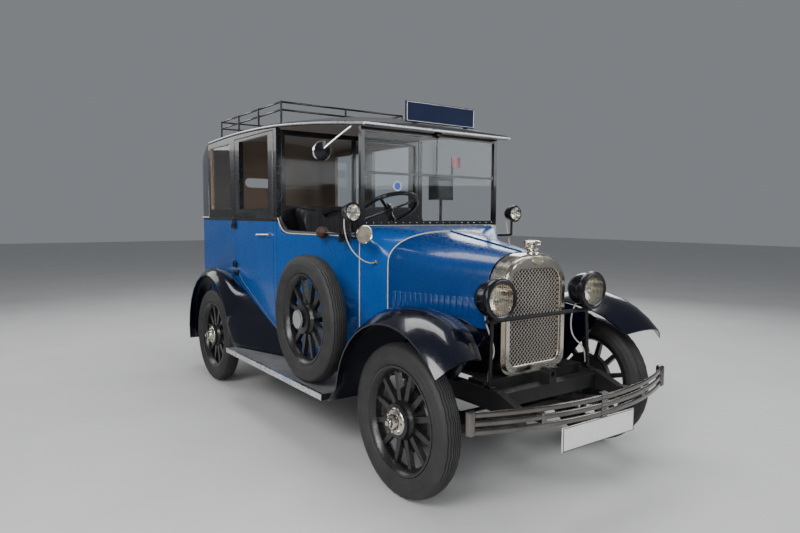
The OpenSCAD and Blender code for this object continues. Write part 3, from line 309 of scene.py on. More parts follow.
def makeFloorboards():
    material = makeFinish("floorboards", (0.17, 0.105, 0.06), (0.11, 0.066, 0.038), (0.50, 0.68), scale=6,
                          bump=0.3)
    tree = material.node_tree
    shader = tree.nodes["Principled BSDF"]
    place = objectPlace(tree)
    bands = tree.nodes.new("ShaderNodeTexWave")
    bands.bands_direction = "Y"
    bands.inputs["Scale"].default_value = 3.4
    bands.inputs["Distortion"].default_value = 1.5
    tree.links.new(place, bands.inputs["Vector"])
    tone = shader.inputs["Base Color"].links[0].from_socket
    tree.links.new(mixColor(tree, ranged(tree, bands.outputs["Fac"], 0.0, 0.6), tone, (0.05, 0.03, 0.017)),
                   shader.inputs["Base Color"])
    return material


def makeGlass(name, tint, rough, ribs=0.0, ior=1.18):
    material, tree, shader = newMaterial(name)
    shader.inputs["Transmission Weight"].default_value = 1.0
    shader.inputs["IOR"].default_value = ior
    field = placeGroup(tree, fieldGroup, Scale=3.0)
    tone = mixColor(tree, ranged(tree, field.outputs["Broad"], 0.0, 1.0), tint, tuple(c*0.97 for c in tint))
    tree.links.new(tone, shader.inputs["Base Color"])
    tree.links.new(ranged(tree, field.outputs["Fine"], rough, rough + 0.02), shader.inputs["Roughness"])
    if ribs:
        place = objectPlace(tree)
        bands = tree.nodes.new("ShaderNodeTexWave")
        bands.bands_direction = "Y"
        bands.inputs["Scale"].default_value = ribs
        tree.links.new(place, bands.inputs["Vector"])
        tree.links.new(bumped(tree, bands.outputs["Fac"], 0.5, 0.002), shader.inputs["Normal"])
    return material


finishes["floorboards"] = makeFloorboards()
finishes["clearGlass"] = makeGlass("clearGlass", (0.93, 0.97, 0.98), 0.0)
finishes["lampGlass"] = makeGlass("lampGlass", (0.96, 0.95, 0.90), 0.06, ribs=26, ior=1.4)
print("finishes are ready")

# ---- shaping helpers


def addPiece(name, bm, finish, body="cab", slot=None, sharp=35, recalc=True, replaces=()):
    names = [finish] if isinstance(finish, str) else finish
    if recalc:
        bmesh.ops.recalc_face_normals(bm, faces=bm.faces)
    mesh = bpy.data.meshes.new(name)
    bm.to_mesh(mesh)
    bm.free()
    for item in names:
        mesh.materials.append(finishes[item])
    mesh.shade_smooth()
    mesh.set_sharp_from_angle(angle=math.radians(sharp))
    piece = bpy.data.objects.new(name, mesh)
    scene.collection.objects.link(piece)
    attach(piece, body)
    if replaces:
        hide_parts(*replaces)
    return piece


def roundEdges(piece, width, segments=2, angle=30):
    bevel = piece.modifiers.new("edges", "BEVEL")
    bevel.width = width
    bevel.segments = segments
    bevel.limit_method = "ANGLE"
    bevel.angle_limit = math.radians(angle)
    bevel.harden_normals = True
    return piece


def smoothSkin(piece, levels=2):
    skin = piece.modifiers.new("skin", "SUBSURF")
    skin.levels = skin.render_levels = levels
    return piece


# how closely a copy of a CAD node is welded, and how flat two triangles are to join, in degrees
clean = {"weld": 2e-5, "flat": 0.3, "joinFace": 12, "joinShape": 60}


def mergedCopy(node):
    bm = bmesh.new()
    bm.from_mesh(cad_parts[node].data)
    bmesh.ops.remove_doubles(bm, verts=bm.verts, dist=clean["weld"])
    bmesh.ops.dissolve_limit(bm, angle_limit=math.radians(clean["flat"]), verts=bm.verts, edges=bm.edges,
                             delimit={"NORMAL"})
    bmesh.ops.join_triangles(bm, faces=bm.faces, angle_face_threshold=math.radians(clean["joinFace"]),
                             angle_shape_threshold=math.radians(clean["joinShape"]))
    return bm


def boxShape(bm, low, high):
    low, high = Vector(low), Vector(high)
    move = Matrix.Translation((low + high)/2)
    bmesh.ops.create_cube(bm, size=1, matrix=move @ Matrix.Diagonal((*(high - low), 1)))


def mirrorTo(sign, bm):
    # a shape drawn on the left stays there for 1 and goes to the right for -1
    bmesh.ops.scale(bm, vec=(1, sign, 1), verts=bm.verts)


def turned(bm, profile, centre, axis="X", steps=48, closed=False):
    # a profile of (radius, distance along the axis) spun round that axis
    along = {"X": Vector((1, 0, 0)), "Y": Vector((0, 1, 0)), "Z": Vector((0, 0, 1))}[axis]
    out = {"X": Vector((0, 0, 1)), "Y": Vector((0, 0, 1)), "Z": Vector((1, 0, 0))}[axis]
    centre = Vector(centre)
    verts = [bm.verts.new(centre + out*r + along*d) for r, d in profile]
    pairs = list(zip(verts, verts[1:])) + ([(verts[-1], verts[0])] if closed else [])
    edges = [bm.edges.new(pair) for pair in pairs]
    bmesh.ops.spin(bm, geom=verts + edges, cent=centre, axis=along, angle=math.tau, steps=steps,
                   use_merge=True)
    bmesh.ops.remove_doubles(bm, verts=bm.verts, dist=1e-6)


def turnedPiece(name, profile, centre, finish, axis="X", steps=48, closed=False, **more):
    bm = bmesh.new()
    turned(bm, profile, centre, axis, steps, closed)
    return addPiece(name, bm, finish, **more)


def boxPiece(name, boxes, finish, edge, segments=2, **more):
    bm = bmesh.new()
    for low, high in boxes:
        boxShape(bm, low, high)
    return roundEdges(addPiece(name, bm, finish, **more), edge, segments)


def pipe(name, points, radius, finish, smooth=True):
    curve = bpy.data.curves.new(name, "CURVE")
    curve.dimensions = "3D"
    curve.bevel_depth = radius
    curve.bevel_resolution = 4
    curve.use_fill_caps = True
    curve.resolution_u = 6
    spline = curve.splines.new("NURBS" if smooth else "POLY")
    spline.points.add(len(points) - 1)
    for item, point in zip(spline.points, points):
        item.co = (*point, 1)
    if smooth:
        spline.use_endpoint_u = True
        spline.order_u = min(4, len(points))
    holder = bpy.data.objects.new(name + "Line", curve)
    scene.collection.objects.link(holder)
    bpy.context.view_layer.update()
    mesh = bpy.data.meshes.new_from_object(holder.evaluated_get(bpy.context.evaluated_depsgraph_get()))
    bpy.data.objects.remove(holder)
    bm = bmesh.new()
    bm.from_mesh(mesh)
    bmesh.ops.remove_doubles(bm, verts=bm.verts, dist=1e-6)
    return addPiece(name, bm, finish, sharp=50)


def blend(a, b, t):
    return a + (b - a)*t


sides = ((1, "Left"), (-1, "Right"))


def dress(finish, *nodes):
    for node in nodes:
        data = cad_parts[node].data
        data.materials.clear()
        data.materials.append(finishes[finish])


def refined(node, finish, body="cab", slot=None, edge=0.003, segments=2, sharp=35):
    # a welded copy of a CAD node with softened edges, which stands for it
    piece = addPiece(node + "Skin", mergedCopy(node), finish, body, slot, sharp=sharp, recalc=False,
                     replaces=(node,))
    return roundEdges(piece, edge, segments) if edge else piece


# ---- lines of the body, in metres

lines = {
    "roofPeakX": -1.0, "roofEdge": 2.012, "roofArc": 13.5, "roofFrontX": 0.8, "partX": -0.229,
    "roofHalf": 0.624, "roofFrontHalf": 0.560, "bodyHalf": 0.640, "screenHalf": 0.545, "screenX": 0.70,
    "hoodX": -1.65,
}


def roofEdge(x):
    return lines["roofEdge"] - (x - lines["roofPeakX"])**2/(2*lines["roofArc"])


def narrowing(x, half, frontHalf, frontX):
    # as wide as the cabin as far as the partition, then tapering forward
    if x < lines["partX"]:
        return half
    return blend(half, frontHalf, (x - lines["partX"])/(frontX - lines["partX"]))


def roofHalf(x):
    return narrowing(x, lines["roofHalf"], lines["roofFrontHalf"], lines["roofFrontX"])


def sideHalf(x):
    return narrowing(x, lines["bodyHalf"], lines["screenHalf"], lines["screenX"])


print("helpers are ready")

# ---- two-tone coachwork

coach = {"colourLine": 1.318, "blackAbove": (0.007, 0.007, 0.009), "cabinHub": (-1.0, 0, 1.2),
         "doorFace": 0.6402, "doorFrontX": -0.6}


def makeCoachPaint():
    material = makeFinish("coachPaint", (0.0005, 0.072, 0.300), (0.001, 0.082, 0.335), (0.24, 0.34),
                          coat=0.25, bump=0.015, gloss=0.25)
    tree = material.node_tree
    shader = tree.nodes["Principled BSDF"]
    place = objectPlace(tree)
    split = tree.nodes.new("ShaderNodeSeparateXYZ")
    tree.links.new(place, split.inputs[0])
    above = mathNode(tree, "GREATER_THAN", split.outputs[2], coach["colourLine"])
    tone = shader.inputs["Base Color"].links[0].from_socket
    tree.links.new(mixColor(tree, above, tone, coach["blackAbove"]), shader.inputs["Base Color"])
    return material


finishes["coachPaint"] = makeCoachPaint()


def zoned(piece, zone):
    # gives each face the material that its centre and normal call for
    for face in piece.data.polygons:
        face.material_index = zone(face.center, face.normal)
    return piece


def insideCabin(centre, normal):
    away = centre - Vector(coach["cabinHub"])
    away.x *= 0.6
    return 1 if normal.dot(away.normalized()) < -0.25 else 0


zoned(refined("body_tub", ["coachPaint", "lining"], edge=0.004), insideCabin)


def doorZone(centre, normal):
    if abs(centre.y) > coach["doorFace"]:
        return 2 if centre.x > coach["doorFrontX"] else 3
    return insideCabin(centre, normal)


for side in ("left", "right"):
    door = "door_" + side
    zoned(refined(door, ["coachPaint", "lining", "brightNickel", "blackPaint"], door, edge=0.004), doorZone)

zoned(refined("side_panel", ["coachPaint", "blackLeather"], edge=0.006, segments=3),
      lambda centre, normal: 1 if normal.y*centre.y < -0.1 else 0)
zoned(refined("partition", ["blackPaint", "lining"], slot="blue_paint", edge=0.005, segments=3),
      lambda centre, normal: 1 if normal.x < -0.5 and centre.z < 1.5 else 0)
zoned(refined("roof", ["roofCloth", "lining"], edge=0.008, segments=3, sharp=50),
      lambda centre, normal: 1 if normal.z < -0.5 else 0)
zoned(refined("landau_hood", ["hoodCloth", "lining"], edge=0.004, sharp=50), insideCabin)

wheelBox = {"x": -1.250, "z": 0.376, "radius": 0.432, "inner": 0.556, "outer": 0.580, "skin": 0.004,
            "floor": 0.5565}


def wheelBoxShape(sign):
    # covers the cut in the side over a rear wheel, seen from the cabin
    r, skin, y0, y1 = wheelBox["radius"], wheelBox["skin"], wheelBox["inner"], wheelBox["outer"]
    bm = bmesh.new()
    turned(bm, [(0.0001, y0), (r, y0), (r, y1), (r - skin, y1), (r - skin, y0 + skin), (0.0001, y0 + skin)],
           (wheelBox["x"], 0, wheelBox["z"]), "Y", 72)
    made = bmesh.ops.bisect_plane(bm, geom=bm.verts[:] + bm.edges[:] + bm.faces[:],
                                  plane_co=(0, 0, wheelBox["floor"]), plane_no=(0, 0, 1), clear_inner=True)
    cut = [e for e in made["geom_cut"] if isinstance(e, bmesh.types.BMEdge)]
    bmesh.ops.holes_fill(bm, edges=cut)
    mirrorTo(sign, bm)
    return bm


for side, sign in (("Left", 1), ("Right", -1)):
    addPiece("wheelBox" + side, wheelBoxShape(sign), "lining")
print("coachwork is built")

# ---- mouldings and piping

# black hinge blocks, half on the body and half on each door
hinges = {"rows": ((1.275, -1.078, -0.985), (0.908, -1.040, -0.945)), "fixedEnd": -1.0285,
          "movingEnd": -1.0275, "inner": 0.6405, "outer": 0.6530, "half": 0.022}
for sign, side in ((1, "left"), (-1, "right")):
    for z, low, high in hinges["rows"]:
        for start, end, rides, place in ((low, hinges["fixedEnd"], "cab", "Fixed"),
                                         (hinges["movingEnd"], high, "door_" + side, "Moving")):
            block = bmesh.new()
            boxShape(block, (start, hinges["inner"], z - hinges["half"]),
                     (end, hinges["outer"], z + hinges["half"]))
            mirrorTo(sign, block)
            label = f"hingeBlock{place}{side.capitalize()}{'High' if z > 1 else 'Low'}"
            roundEdges(addPiece(label, block, "blackPaint", rides), 0.004, 3)

# silver drip moulding round the roof
trim = {"dripDrop": 0.014, "drip": 0.0085, "bead": 0.0032, "piping": 0.006, "edgeBead": 0.0035,
        "edgePad": 0.018}
for sign, name in sides:
    line = [(x, sign*(roofHalf(x) + 0.004), roofEdge(x) - trim["dripDrop"])
            for x in [blend(lines["hoodX"] + 0.02, 0.78, i/24) for i in range(25)]]
    line += [(0.798, sign*0.5635, roofEdge(0.8) - trim["dripDrop"])]
    pipe("dripMoulding" + name, line, trim["drip"], "silverTrim")
frontLine = [(0.802, blend(-0.568, 0.568, i/12), roofEdge(0.8) - trim["dripDrop"]) for i in range(13)]
pipe("dripMouldingFront", frontLine, trim["drip"], "silverTrim")


def arch(half, low, shoulder, top, power, steps=16):
    points = [(half, low)]
    for i in range(steps + 1):
        a = math.pi/2*i/steps
        points.append((half*math.cos(a)**(2/power), shoulder + (top - shoulder)*math.sin(a)**(2/power)))
    return points


def archLine(x, half, low, shoulder, top, power, grow):
    left = arch(half + grow, low, shoulder, top + grow, power)
    return [(x, y, z) for y, z in left] + [(x, -y, z) for y, z in reversed(left[:-1])]


# cream beads at the back of the bonnet and beside the windscreen
pipe("bonnetBead", archLine(0.883, 0.460, 0.80, 1.080, 1.270, 2.4, 0.001), trim["bead"], "creamTrim")
pipe("screenBead", archLine(0.712, 0.541, 0.56, 1.246, 1.303, 9, 0.003), trim["bead"], "creamTrim")

# cream piping up the front of the hood, and the edge of the low side beside the driver
for sign, name in sides:
    pipe("hoodPiping" + name, [(-1.652, sign*0.628, 1.345), (-1.652, sign*0.630, 1.60),
                               (-1.651, sign*0.628, 1.88), (-1.650, sign*0.600, 1.985)], trim["piping"],
         "creamTrim")
edge = [(-0.205, 1.345), (-0.185, 1.300), (-0.150, 1.262), (-0.100, 1.243), (0.0, 1.2405), (0.2, 1.2405),
        (0.45, 1.2405), (0.692, 1.2405)]
pipe("sideEdgeBead", [(x, -sideHalf(x) - 0.001, z) for x, z in edge], trim["edgeBead"], "creamTrim")
pipe("sideEdgePad", [(x, 0.020 - sideHalf(x), z + 0.004) for x, z in edge], trim["edgePad"],
     "blackLeather")

# piping along the bottom of the hood, round the back
hoodBase = [(-1.655, 0.634, 1.343)]
for i in range(9):
    a = math.pi/2*i/8
    hoodBase.append((-1.95 + 0.158 - 0.158*math.sin(a), 0.640 - 0.158 + 0.156*math.cos(a), 1.343))
hoodBase += [(x, -y, z) for x, y, z in reversed(hoodBase)]
pipe("hoodBasePiping", hoodBase, trim["piping"], "creamTrim")
print("mouldings are built")

# ---- bonnet, scuttle and windscreen

bonnet = {"louvres": 15, "louvreFrom": 0.925, "louvreTo": 1.385, "louvreLow": 0.835, "louvreHigh": 0.940,
          "louvreDepth": 0.009}


def bonnetHalf(x):
    if x < 1.1765:
        return blend(0.460, 0.3625, (x - 0.886)/0.2905)
    return blend(0.3625, 0.237, (x - 1.1765)/0.2905)


def ridge(x):
    return blend(1.270, 1.174, (x - 0.878)/0.5947)


def louvreShapes(sign):
    bm = bmesh.new()
    low, high, depth = bonnet["louvreLow"], bonnet["louvreHigh"], bonnet["louvreDepth"]
    gap = (bonnet["louvreTo"] - bonnet["louvreFrom"])/(bonnet["louvres"] - 1)
    for i in range(bonnet["louvres"]):
        x = bonnet["louvreFrom"] + gap*i
        slope = (bonnetHalf(x + 0.005) - bonnetHalf(x - 0.005))/0.01
        turn = Matrix.Rotation(math.atan(slope), 4, "Z")
        move = Matrix.Translation((x, bonnetHalf(x), 0)) @ turn @ Matrix.Translation((0, 0, (low + high)/2))
        stretch = Matrix.Diagonal((gap*0.72, depth*2, high - low, 1))
        made = bmesh.ops.create_cube(bm, size=1, matrix=move @ stretch)["verts"]
        outer = [v for v in made if v.co.y > bonnetHalf(v.co.x)]
        for v in outer:
            if v.co.x > x:
                v.co.y -= depth*0.85
        edges = {e for v in outer for e in v.link_edges if e.other_vert(v) in outer}
        bmesh.ops.bevel(bm, geom=list(edges), offset=0.0035, affect="EDGES", segments=3, profile=0.5,
                        material=-1)
    if sign < 0:
        mirrorTo(sign, bm)
    return bm


def underBonnet(centre, normal):
    facesIn = normal.y*centre.y < 0 and normal.z < 0.5
    return 1 if facesIn and 0.01 < abs(centre.y) < bonnetHalf(centre.x) - 0.004 else 0


def scuttleZone(centre, normal):
    edge = abs(normal.x) > 0.97 or centre.x > 0.884
    return 1 if edge or normal.y*centre.y + normal.z*(centre.z - 0.9) < 0.001 else 0


# bonnet halves, louvres and hinge take the darkened blue, which is painted shade
for side, sign in (("left", 1), ("right", -1)):
    half = "bonnet_" + side
    zoned(refined(half, ["bonnetPaint", "blackPaint"], half, edge=0.002, sharp=60), underBonnet)
    addPiece("louvres" + side.capitalize(), louvreShapes(sign), "bonnetPaint", half, sharp=50)

zoned(refined("scuttle", ["coachPaint", "blackPaint"], sharp=60), scuttleZone)

# long hinge down the middle of the bonnet
pipe("bonnetHinge", [(0.884, 0, ridge(0.884) + 0.002), (1.468, 0, ridge(1.468) + 0.002)], 0.0055,
     "bonnetPaint", smooth=False)

# catches low on the bonnet sides
catches = bmesh.new()
for sign in (1, -1):
    for x in (0.97, 1.33):
        y = sign*bonnetHalf(x)
        turned(catches, [(0.0001, 0.012), (0.012, 0.012), (0.016, 0.006), (0.016, 0.0)],
               (x, y + (0 if sign > 0 else -0.012), 0.800), "Y", 24)
bmesh.ops.remove_doubles(catches, verts=catches.verts, dist=1e-6)
addPiece("bonnetCatches", catches, "dullNickel")

refined("windscreen", "blackPaint", edge=0.004, segments=3)


def domes(bm, places, radius, height, axis="X", steps=12):
    for place in places:
        profile = [(radius, 0), (radius*0.86, height*0.55), (radius*0.5, height*0.9), (0.0001, height)]
        turned(bm, profile, place, axis, steps)


rivets = bmesh.new()
domes(rivets, [(0.716, blend(-0.50, 0.50, i/19), 1.320) for i in range(20)], 0.0045, 0.004)
addPiece("screenRivets", rivets, "brightNickel")

# wiper, with its motor at the top of the frame
wiper = bmesh.new()
turned(wiper, [(0.0001, 0.03), (0.016, 0.028), (0.022, 0.018), (0.024, 0.0)], (0.716, 0.02, 1.868), "X", 24)
boxShape(wiper, (0.720, 0.016, 1.640), (0.724, 0.022, 1.868))
boxShape(wiper, (0.719, 0.012, 1.600), (0.725, 0.017, 1.800))
addPiece("wiper", wiper, "blackPaint")

# plain blue disc with a white rim behind the glass
disc = {"place": (0.7085, -0.276, 1.54), "radius": 0.024, "rim": 0.005}
r, rimR = disc["radius"], disc["radius"] + disc["rim"]
turnedPiece("screenDisc", [(0.0001, 0.003), (r, 0.003), (r, 0.0)], disc["place"], "discBlue", steps=32)
turnedPiece("screenDiscRim", [(r, 0.0), (r, 0.004), (rimR, 0.004), (rimR, 0.0)], disc["place"],
            "whiteEnamel", steps=32, closed=True)

# gauges on the instrument board
dials, dialRims = bmesh.new(), bmesh.new()
for y, z, r in ((-0.19, 1.215, 0.040), (-0.09, 1.215, 0.032), (-0.29, 1.215, 0.032), (0.02, 1.215, 0.026)):
    turned(dials, [(0.0001, -0.002), (r, -0.002), (r, 0.0)], (0.698, y, z), "X", 32)
    turned(dialRims, [(r, -0.002), (r, -0.009), (r + 0.006, -0.006), (r + 0.007, 0.0)], (0.698, y, z), "X",
           32)
addPiece("dials", dials, "dialFace")
addPiece("dialRims", dialRims, "brightNickel")
print("front of the body is built")

# ---- radiator

radiator = {"top": 1.172, "openHalf": 0.193, "openLow": 0.592, "openHigh": 1.096,
            "topCorner": 0.085, "footCorner": 0.050, "wire": 0.0021, "wirePitch": 0.0175, "capX": 1.543}


def radiatorZone(centre, normal):
    across = abs(centre.y) < radiator["openHalf"] - 0.001
    upright = radiator["openLow"] + 0.001 < centre.z < radiator["openHigh"] - 0.0005
    return 1 if across and upright and 1.48 < centre.x < 1.5525 else 0


zoned(refined("radiator", ["nickel", "darkCore"], edge=0.010, segments=4, sharp=40), radiatorZone)


def corner(y, z, r, start):
    turns = [start + math.pi/12*i for i in range(7)]
    return [(y + r*math.cos(a), z + r*math.sin(a)) for a in turns]


def openingOutline(grow):
    half, low, high = (radiator["openHalf"] + grow, radiator["openLow"] - grow, radiator["openHigh"] + grow)
    top, foot = radiator["topCorner"], radiator["footCorner"]
    return (corner(half - top, high - top, top, 0) + corner(top - half, high - top, top, math.pi/2) +
            corner(foot - half, low + foot, foot, math.pi) +
            corner(half - foot, low + foot, foot, -math.pi/2))


def insideOutline(y, z, outline):
    inside, last = False, outline[-1]
    for point in outline:
        if (point[1] > z) != (last[1] > z):
            if y < (last[0] - point[0])*(z - point[1])/(last[1] - point[1]) + point[0]:
                inside = not inside
        last = point
    return inside


def wireMesh():
    # slanting wires laid both ways, trimmed to the opening of the shell
    outline = openingOutline(0.006)
    pitch = radiator["wirePitch"]
    bm = bmesh.new()
    bmesh.ops.create_grid(bm, x_segments=40, y_segments=40, size=pitch*20)
    for angle, axis in ((math.pi/4, "Z"), (math.pi/2, "X"), (math.pi/2, "Z")):
        bmesh.ops.rotate(bm, verts=bm.verts, cent=(0, 0, 0), matrix=Matrix.Rotation(angle, 3, axis))
    bmesh.ops.translate(bm, verts=bm.verts, vec=(1.5570, 0, 0.844))
    outside = [f for f in bm.faces if not insideOutline(*f.calc_center_median().yz, outline)]
    bmesh.ops.delete(bm, geom=outside, context="FACES")
    for v in bm.verts:
        v.co.x += 0.0015 if round(v.co.y/(pitch*math.sqrt(0.5))) % 2 else -0.0015
    return bm


mesh = addPiece("wireMesh", wireMesh(), "meshBrass", recalc=False)
wires = mesh.modifiers.new("wires", "WIREFRAME")
wires.thickness = radiator["wire"]*2
wires.use_even_offset = False

ring = [(1.568, y, z) for y, z in openingOutline(0.001)]
pipe("radiatorBead", ring + [ring[0]], 0.005, "nickel", smooth=False)

turnedPiece("capFlanges", [(0.0001, 0.072), (0.030, 0.071), (0.041, 0.067), (0.045, 0.062), (0.045, 0.058),
                           (0.038, 0.053), (0.026, 0.050), (0.022, 0.045), (0.022, 0.040), (0.028, 0.036),
                           (0.038, 0.033), (0.040, 0.029), (0.038, 0.025), (0.028, 0.021), (0.024, 0.016),
                           (0.026, 0.011), (0.036, 0.007), (0.038, 0.0)],
            (radiator["capX"], 0, radiator["top"] - 0.006), "nickel", "Z", 40)

# plain oval badge
badge = bmesh.new()
turned(badge, [(0.0001, 0.005), (0.022, 0.005), (0.024, 0.008), (0.030, 0.008), (0.034, 0.004),
               (0.035, 0.0)], (1.5845, 0, 1.132), "X", 40)
bmesh.ops.scale(badge, vec=(1, 1.25, 0.62), verts=badge.verts,
                space=Matrix.Translation((-1.5845, 0, -1.132)))
addPiece("badge", badge, "dullNickel")
print("radiator is built")

# ---- lamps, horn and mirror

lamp = {"front": 1.682, "y": 0.346, "z": 0.965, "radius": 0.102, "barX": 1.622, "barZ": 0.855,
        "footY": 0.370, "sideX": 0.805, "sideY": 0.640, "sideZ": 1.380}


def buildHeadlamp(name, sign):
    r, place = lamp["radius"], (lamp["front"], sign*lamp["y"], lamp["z"])
    profile = [(r - 0.023, -0.003), (r - 0.014, 0.002), (r - 0.005, 0.001), (r, -0.004), (r, -0.012),
               (r - 0.002, -0.017), (r, -0.022), (r, -0.028), (r - 0.006, -0.034), (r - 0.008, -0.045),
               (r - 0.010, -0.075), (r - 0.020, -0.105), (r - 0.038, -0.132), (r - 0.062, -0.152),
               (0.020, -0.159), (0.0001, -0.160)]
    turnedPiece("headlamp" + name, profile, place, "blackPaint", steps=64, sharp=40)
    turnedPiece("reflector" + name, [(r - 0.022, -0.008), (r - 0.026, -0.040), (r - 0.045, -0.075),
                                     (0.016, -0.092), (0.0001, -0.094)], place, "nickel")
    turnedPiece("headlampGlass" + name, [(0.0001, 0.0035), (r*0.5, 0.002), (r - 0.023, -0.002),
                                         (r - 0.022, -0.006), (r*0.5, -0.002), (0.0001, -0.0005)], place,
                "lampGlass", sharp=60)
    bulb = bmesh.new()
    bmesh.ops.create_uvsphere(bulb, u_segments=16, v_segments=10, radius=0.014,
                              matrix=Matrix.Translation((place[0] - 0.055, place[1], place[2])))
    addPiece("headlampBulb" + name, bulb, "whiteEnamel")


def lampBar():
    bm = bmesh.new()
    x, z = lamp["barX"], lamp["barZ"]
    turned(bm, [(0.0001, -0.392), (0.009, -0.392), (0.013, -0.386), (0.011, -0.380), (0.011, 0.380),
                (0.013, 0.386), (0.009, 0.392), (0.0001, 0.392)], (x, 0, z), "Y", 20)
    for sign in (1, -1):
        turned(bm, [(0.016, 0.0), (0.018, 0.006), (0.016, 0.012), (0.0155, 0.03)],
               (x, sign*lamp["y"], z - 0.012), "Z", 20)
    return bm


addPiece("lampBar", lampBar(), "framePaint", slot="black_paint", replaces=("headlamps",))
for sign, name in sides:
    buildHeadlamp(name, sign)
    y, footY = sign*lamp["y"], sign*lamp["footY"]
    pipe("lampStay" + name, [(lamp["barX"], y + sign*0.010, lamp["barZ"]), (1.630, footY, 0.532)], 0.010,
         "blackPaint", smooth=False)
    boxPiece("lampFoot" + name, [((1.605, footY - 0.018, 0.5305), (1.655, footY + 0.018, 0.541))],
             "blackPaint", 0.002)
    pipe("lampWire" + name, [(1.562, y, 0.885), (1.548, y - sign*0.015, 0.845),
                             (1.556, y - sign*0.040, 0.775), (1.578, y - sign*0.052, 0.715),
                             (1.602, y - sign*0.030, 0.672), (1.6150, sign*0.3655, 0.640),
                             (1.6170, sign*0.3680, 0.560)], 0.0040, "creamWire")
    # side lamp on the scuttle
    place = (lamp["sideX"], sign*lamp["sideY"], lamp["sideZ"])
    turnedPiece("sideLamp" + name, [(0.044, -0.003), (0.050, 0.0), (0.056, -0.004), (0.056, -0.010),
                                    (0.0545, -0.013), (0.056, -0.016), (0.056, -0.020), (0.050, -0.032),
                                    (0.049, -0.045), (0.042, -0.068), (0.030, -0.082), (0.014, -0.089),
                                    (0.0001, -0.090)], place, "blackPaint", sharp=40,
                replaces=("side_lamps",) if sign > 0 else ())
    turnedPiece("sideLampLens" + name, [(0.0001, 0.006), (0.025, 0.004), (0.0445, -0.002), (0.044, -0.006),
                                        (0.025, -0.001), (0.0001, 0.001)], place, "lampGlass", steps=40,
                sharp=60)
    turnedPiece("sideReflector" + name, [(0.044, -0.007), (0.030, -0.030), (0.0001, -0.040)], place,
                "brightNickel", steps=32)
    pipe("sideLampArm" + name, [(0.765, sign*0.640, 1.335), (0.765, sign*0.640, 1.235)], 0.008,
         "blackPaint", smooth=False)
    pipe("sideLampBracket" + name, [(0.765, sign*0.640, 1.240), (0.765, sign*0.632, 1.236),
                                    (0.740, sign*0.590, 1.235), (0.716, sign*0.5401, 1.235)], 0.0085,
         "blackPaint")
    pipe("sideLampWire" + name, [(0.718, sign*0.640, 1.372), (0.700, sign*0.645, 1.350),
                                 (0.725, sign*0.655, 1.230), (0.790, sign*0.610, 1.120),
                                 (0.820, sign*0.540, 1.085), (0.808, sign*0.498, 1.095)], 0.0035,
         "creamWire")
    fitting = bmesh.new()
    turned(fitting, [(0.0001, 0.018), (0.010, 0.017), (0.014, 0.010), (0.015, 0.0)], (0.808, 0, 0), "Y", 24)
    mirrorTo(sign, fitting)
    bmesh.ops.translate(fitting, verts=fitting.verts, vec=(0, sign*0.492, 1.095))
    addPiece("wireFitting" + name, fitting, "brightNickel")

# bulb horn on the right side
hornPlace = (0.400, -0.618, 1.258)
turnedPiece("hornBulb", [(0.0001, -0.040), (0.014, -0.038), (0.028, -0.030), (0.036, -0.016), (0.038, 0.0),
                         (0.036, 0.014), (0.028, 0.027), (0.016, 0.036), (0.012, 0.046), (0.011, 0.052)],
            hornPlace, "bulbRubber", steps=40, replaces=("bulb_horn",))
tube = bmesh.new()
turned(tube, [(0.0001, 0.040), (0.013, 0.041), (0.013, 0.052), (0.009, 0.055), (0.009, 0.250),
              (0.012, 0.255), (0.012, 0.270), (0.009, 0.275), (0.009, 0.380), (0.012, 0.395),
              (0.013, 0.405)], hornPlace, "X", 28)
boxShape(tube, (0.622, -0.632, 1.208), (0.642, -0.570, 1.272))
addPiece("hornTube", tube, "blackPaint")
turnedPiece("hornBell", [(0.0001, 0.395), (0.013, 0.395), (0.016, 0.415), (0.026, 0.440), (0.040, 0.465),
                         (0.048, 0.476), (0.051, 0.482), (0.051, 0.488), (0.047, 0.489), (0.040, 0.482),
                         (0.030, 0.476), (0.0001, 0.474)], hornPlace, "nickel")
grille = bmesh.new()
turned(grille, [(0.0001, 0.4865), (0.030, 0.4862), (0.046, 0.4855), (0.0465, 0.482)], hornPlace, "X", 40)
for ring in range(1, 5):
    for i in range(7*ring):
        a = math.tau*i/(7*ring)
        domes(grille, [(hornPlace[0] + 0.4860, hornPlace[1] + 0.0095*ring*math.cos(a),
                        hornPlace[2] + 0.0095*ring*math.sin(a))], 0.0026, 0.0014, steps=6)
addPiece("hornGrille", grille, "dullNickel")

# round mirror under the roof
mirror = {"place": (0.550, -0.700, 1.735), "turn": -80}
mirrorTurn = Matrix.Translation(mirror["place"]) @ Matrix.Rotation(math.radians(mirror["turn"]), 4, "Y")
back, face, rim = bmesh.new(), bmesh.new(), bmesh.new()
turned(back, [(0.054, 0.004), (0.056, 0.0), (0.054, -0.006), (0.030, -0.012), (0.0001, -0.014)], (0, 0, 0),
       "Z", 48)
turned(face, [(0.0001, 0.0045), (0.053, 0.0045), (0.053, 0.0)], (0, 0, 0), "Z", 48)
turned(rim, [(0.053, 0.006), (0.056, 0.008), (0.059, 0.005), (0.059, -0.003), (0.055, -0.006)], (0, 0, 0),
       "Z", 48, closed=True)
for part in (back, face, rim):
    # the glass looks back towards the driver
    bmesh.ops.transform(part, verts=part.verts, matrix=mirrorTurn)
addPiece("mirrorBack", back, "blackPaint", replaces=("mirror",))
addPiece("mirrorFace", face, "brightNickel")
addPiece("mirrorRim", rim, "brightNickel")
pipe("mirrorArm", [(0.556, -0.698, 1.742), (0.575, -0.672, 1.775), (0.625, -0.580, 1.860),
                   (0.640, -0.558, 1.878)], 0.006, "brightNickel")
print("lamps, horn and mirror are built")

# ---- wheels and tyres

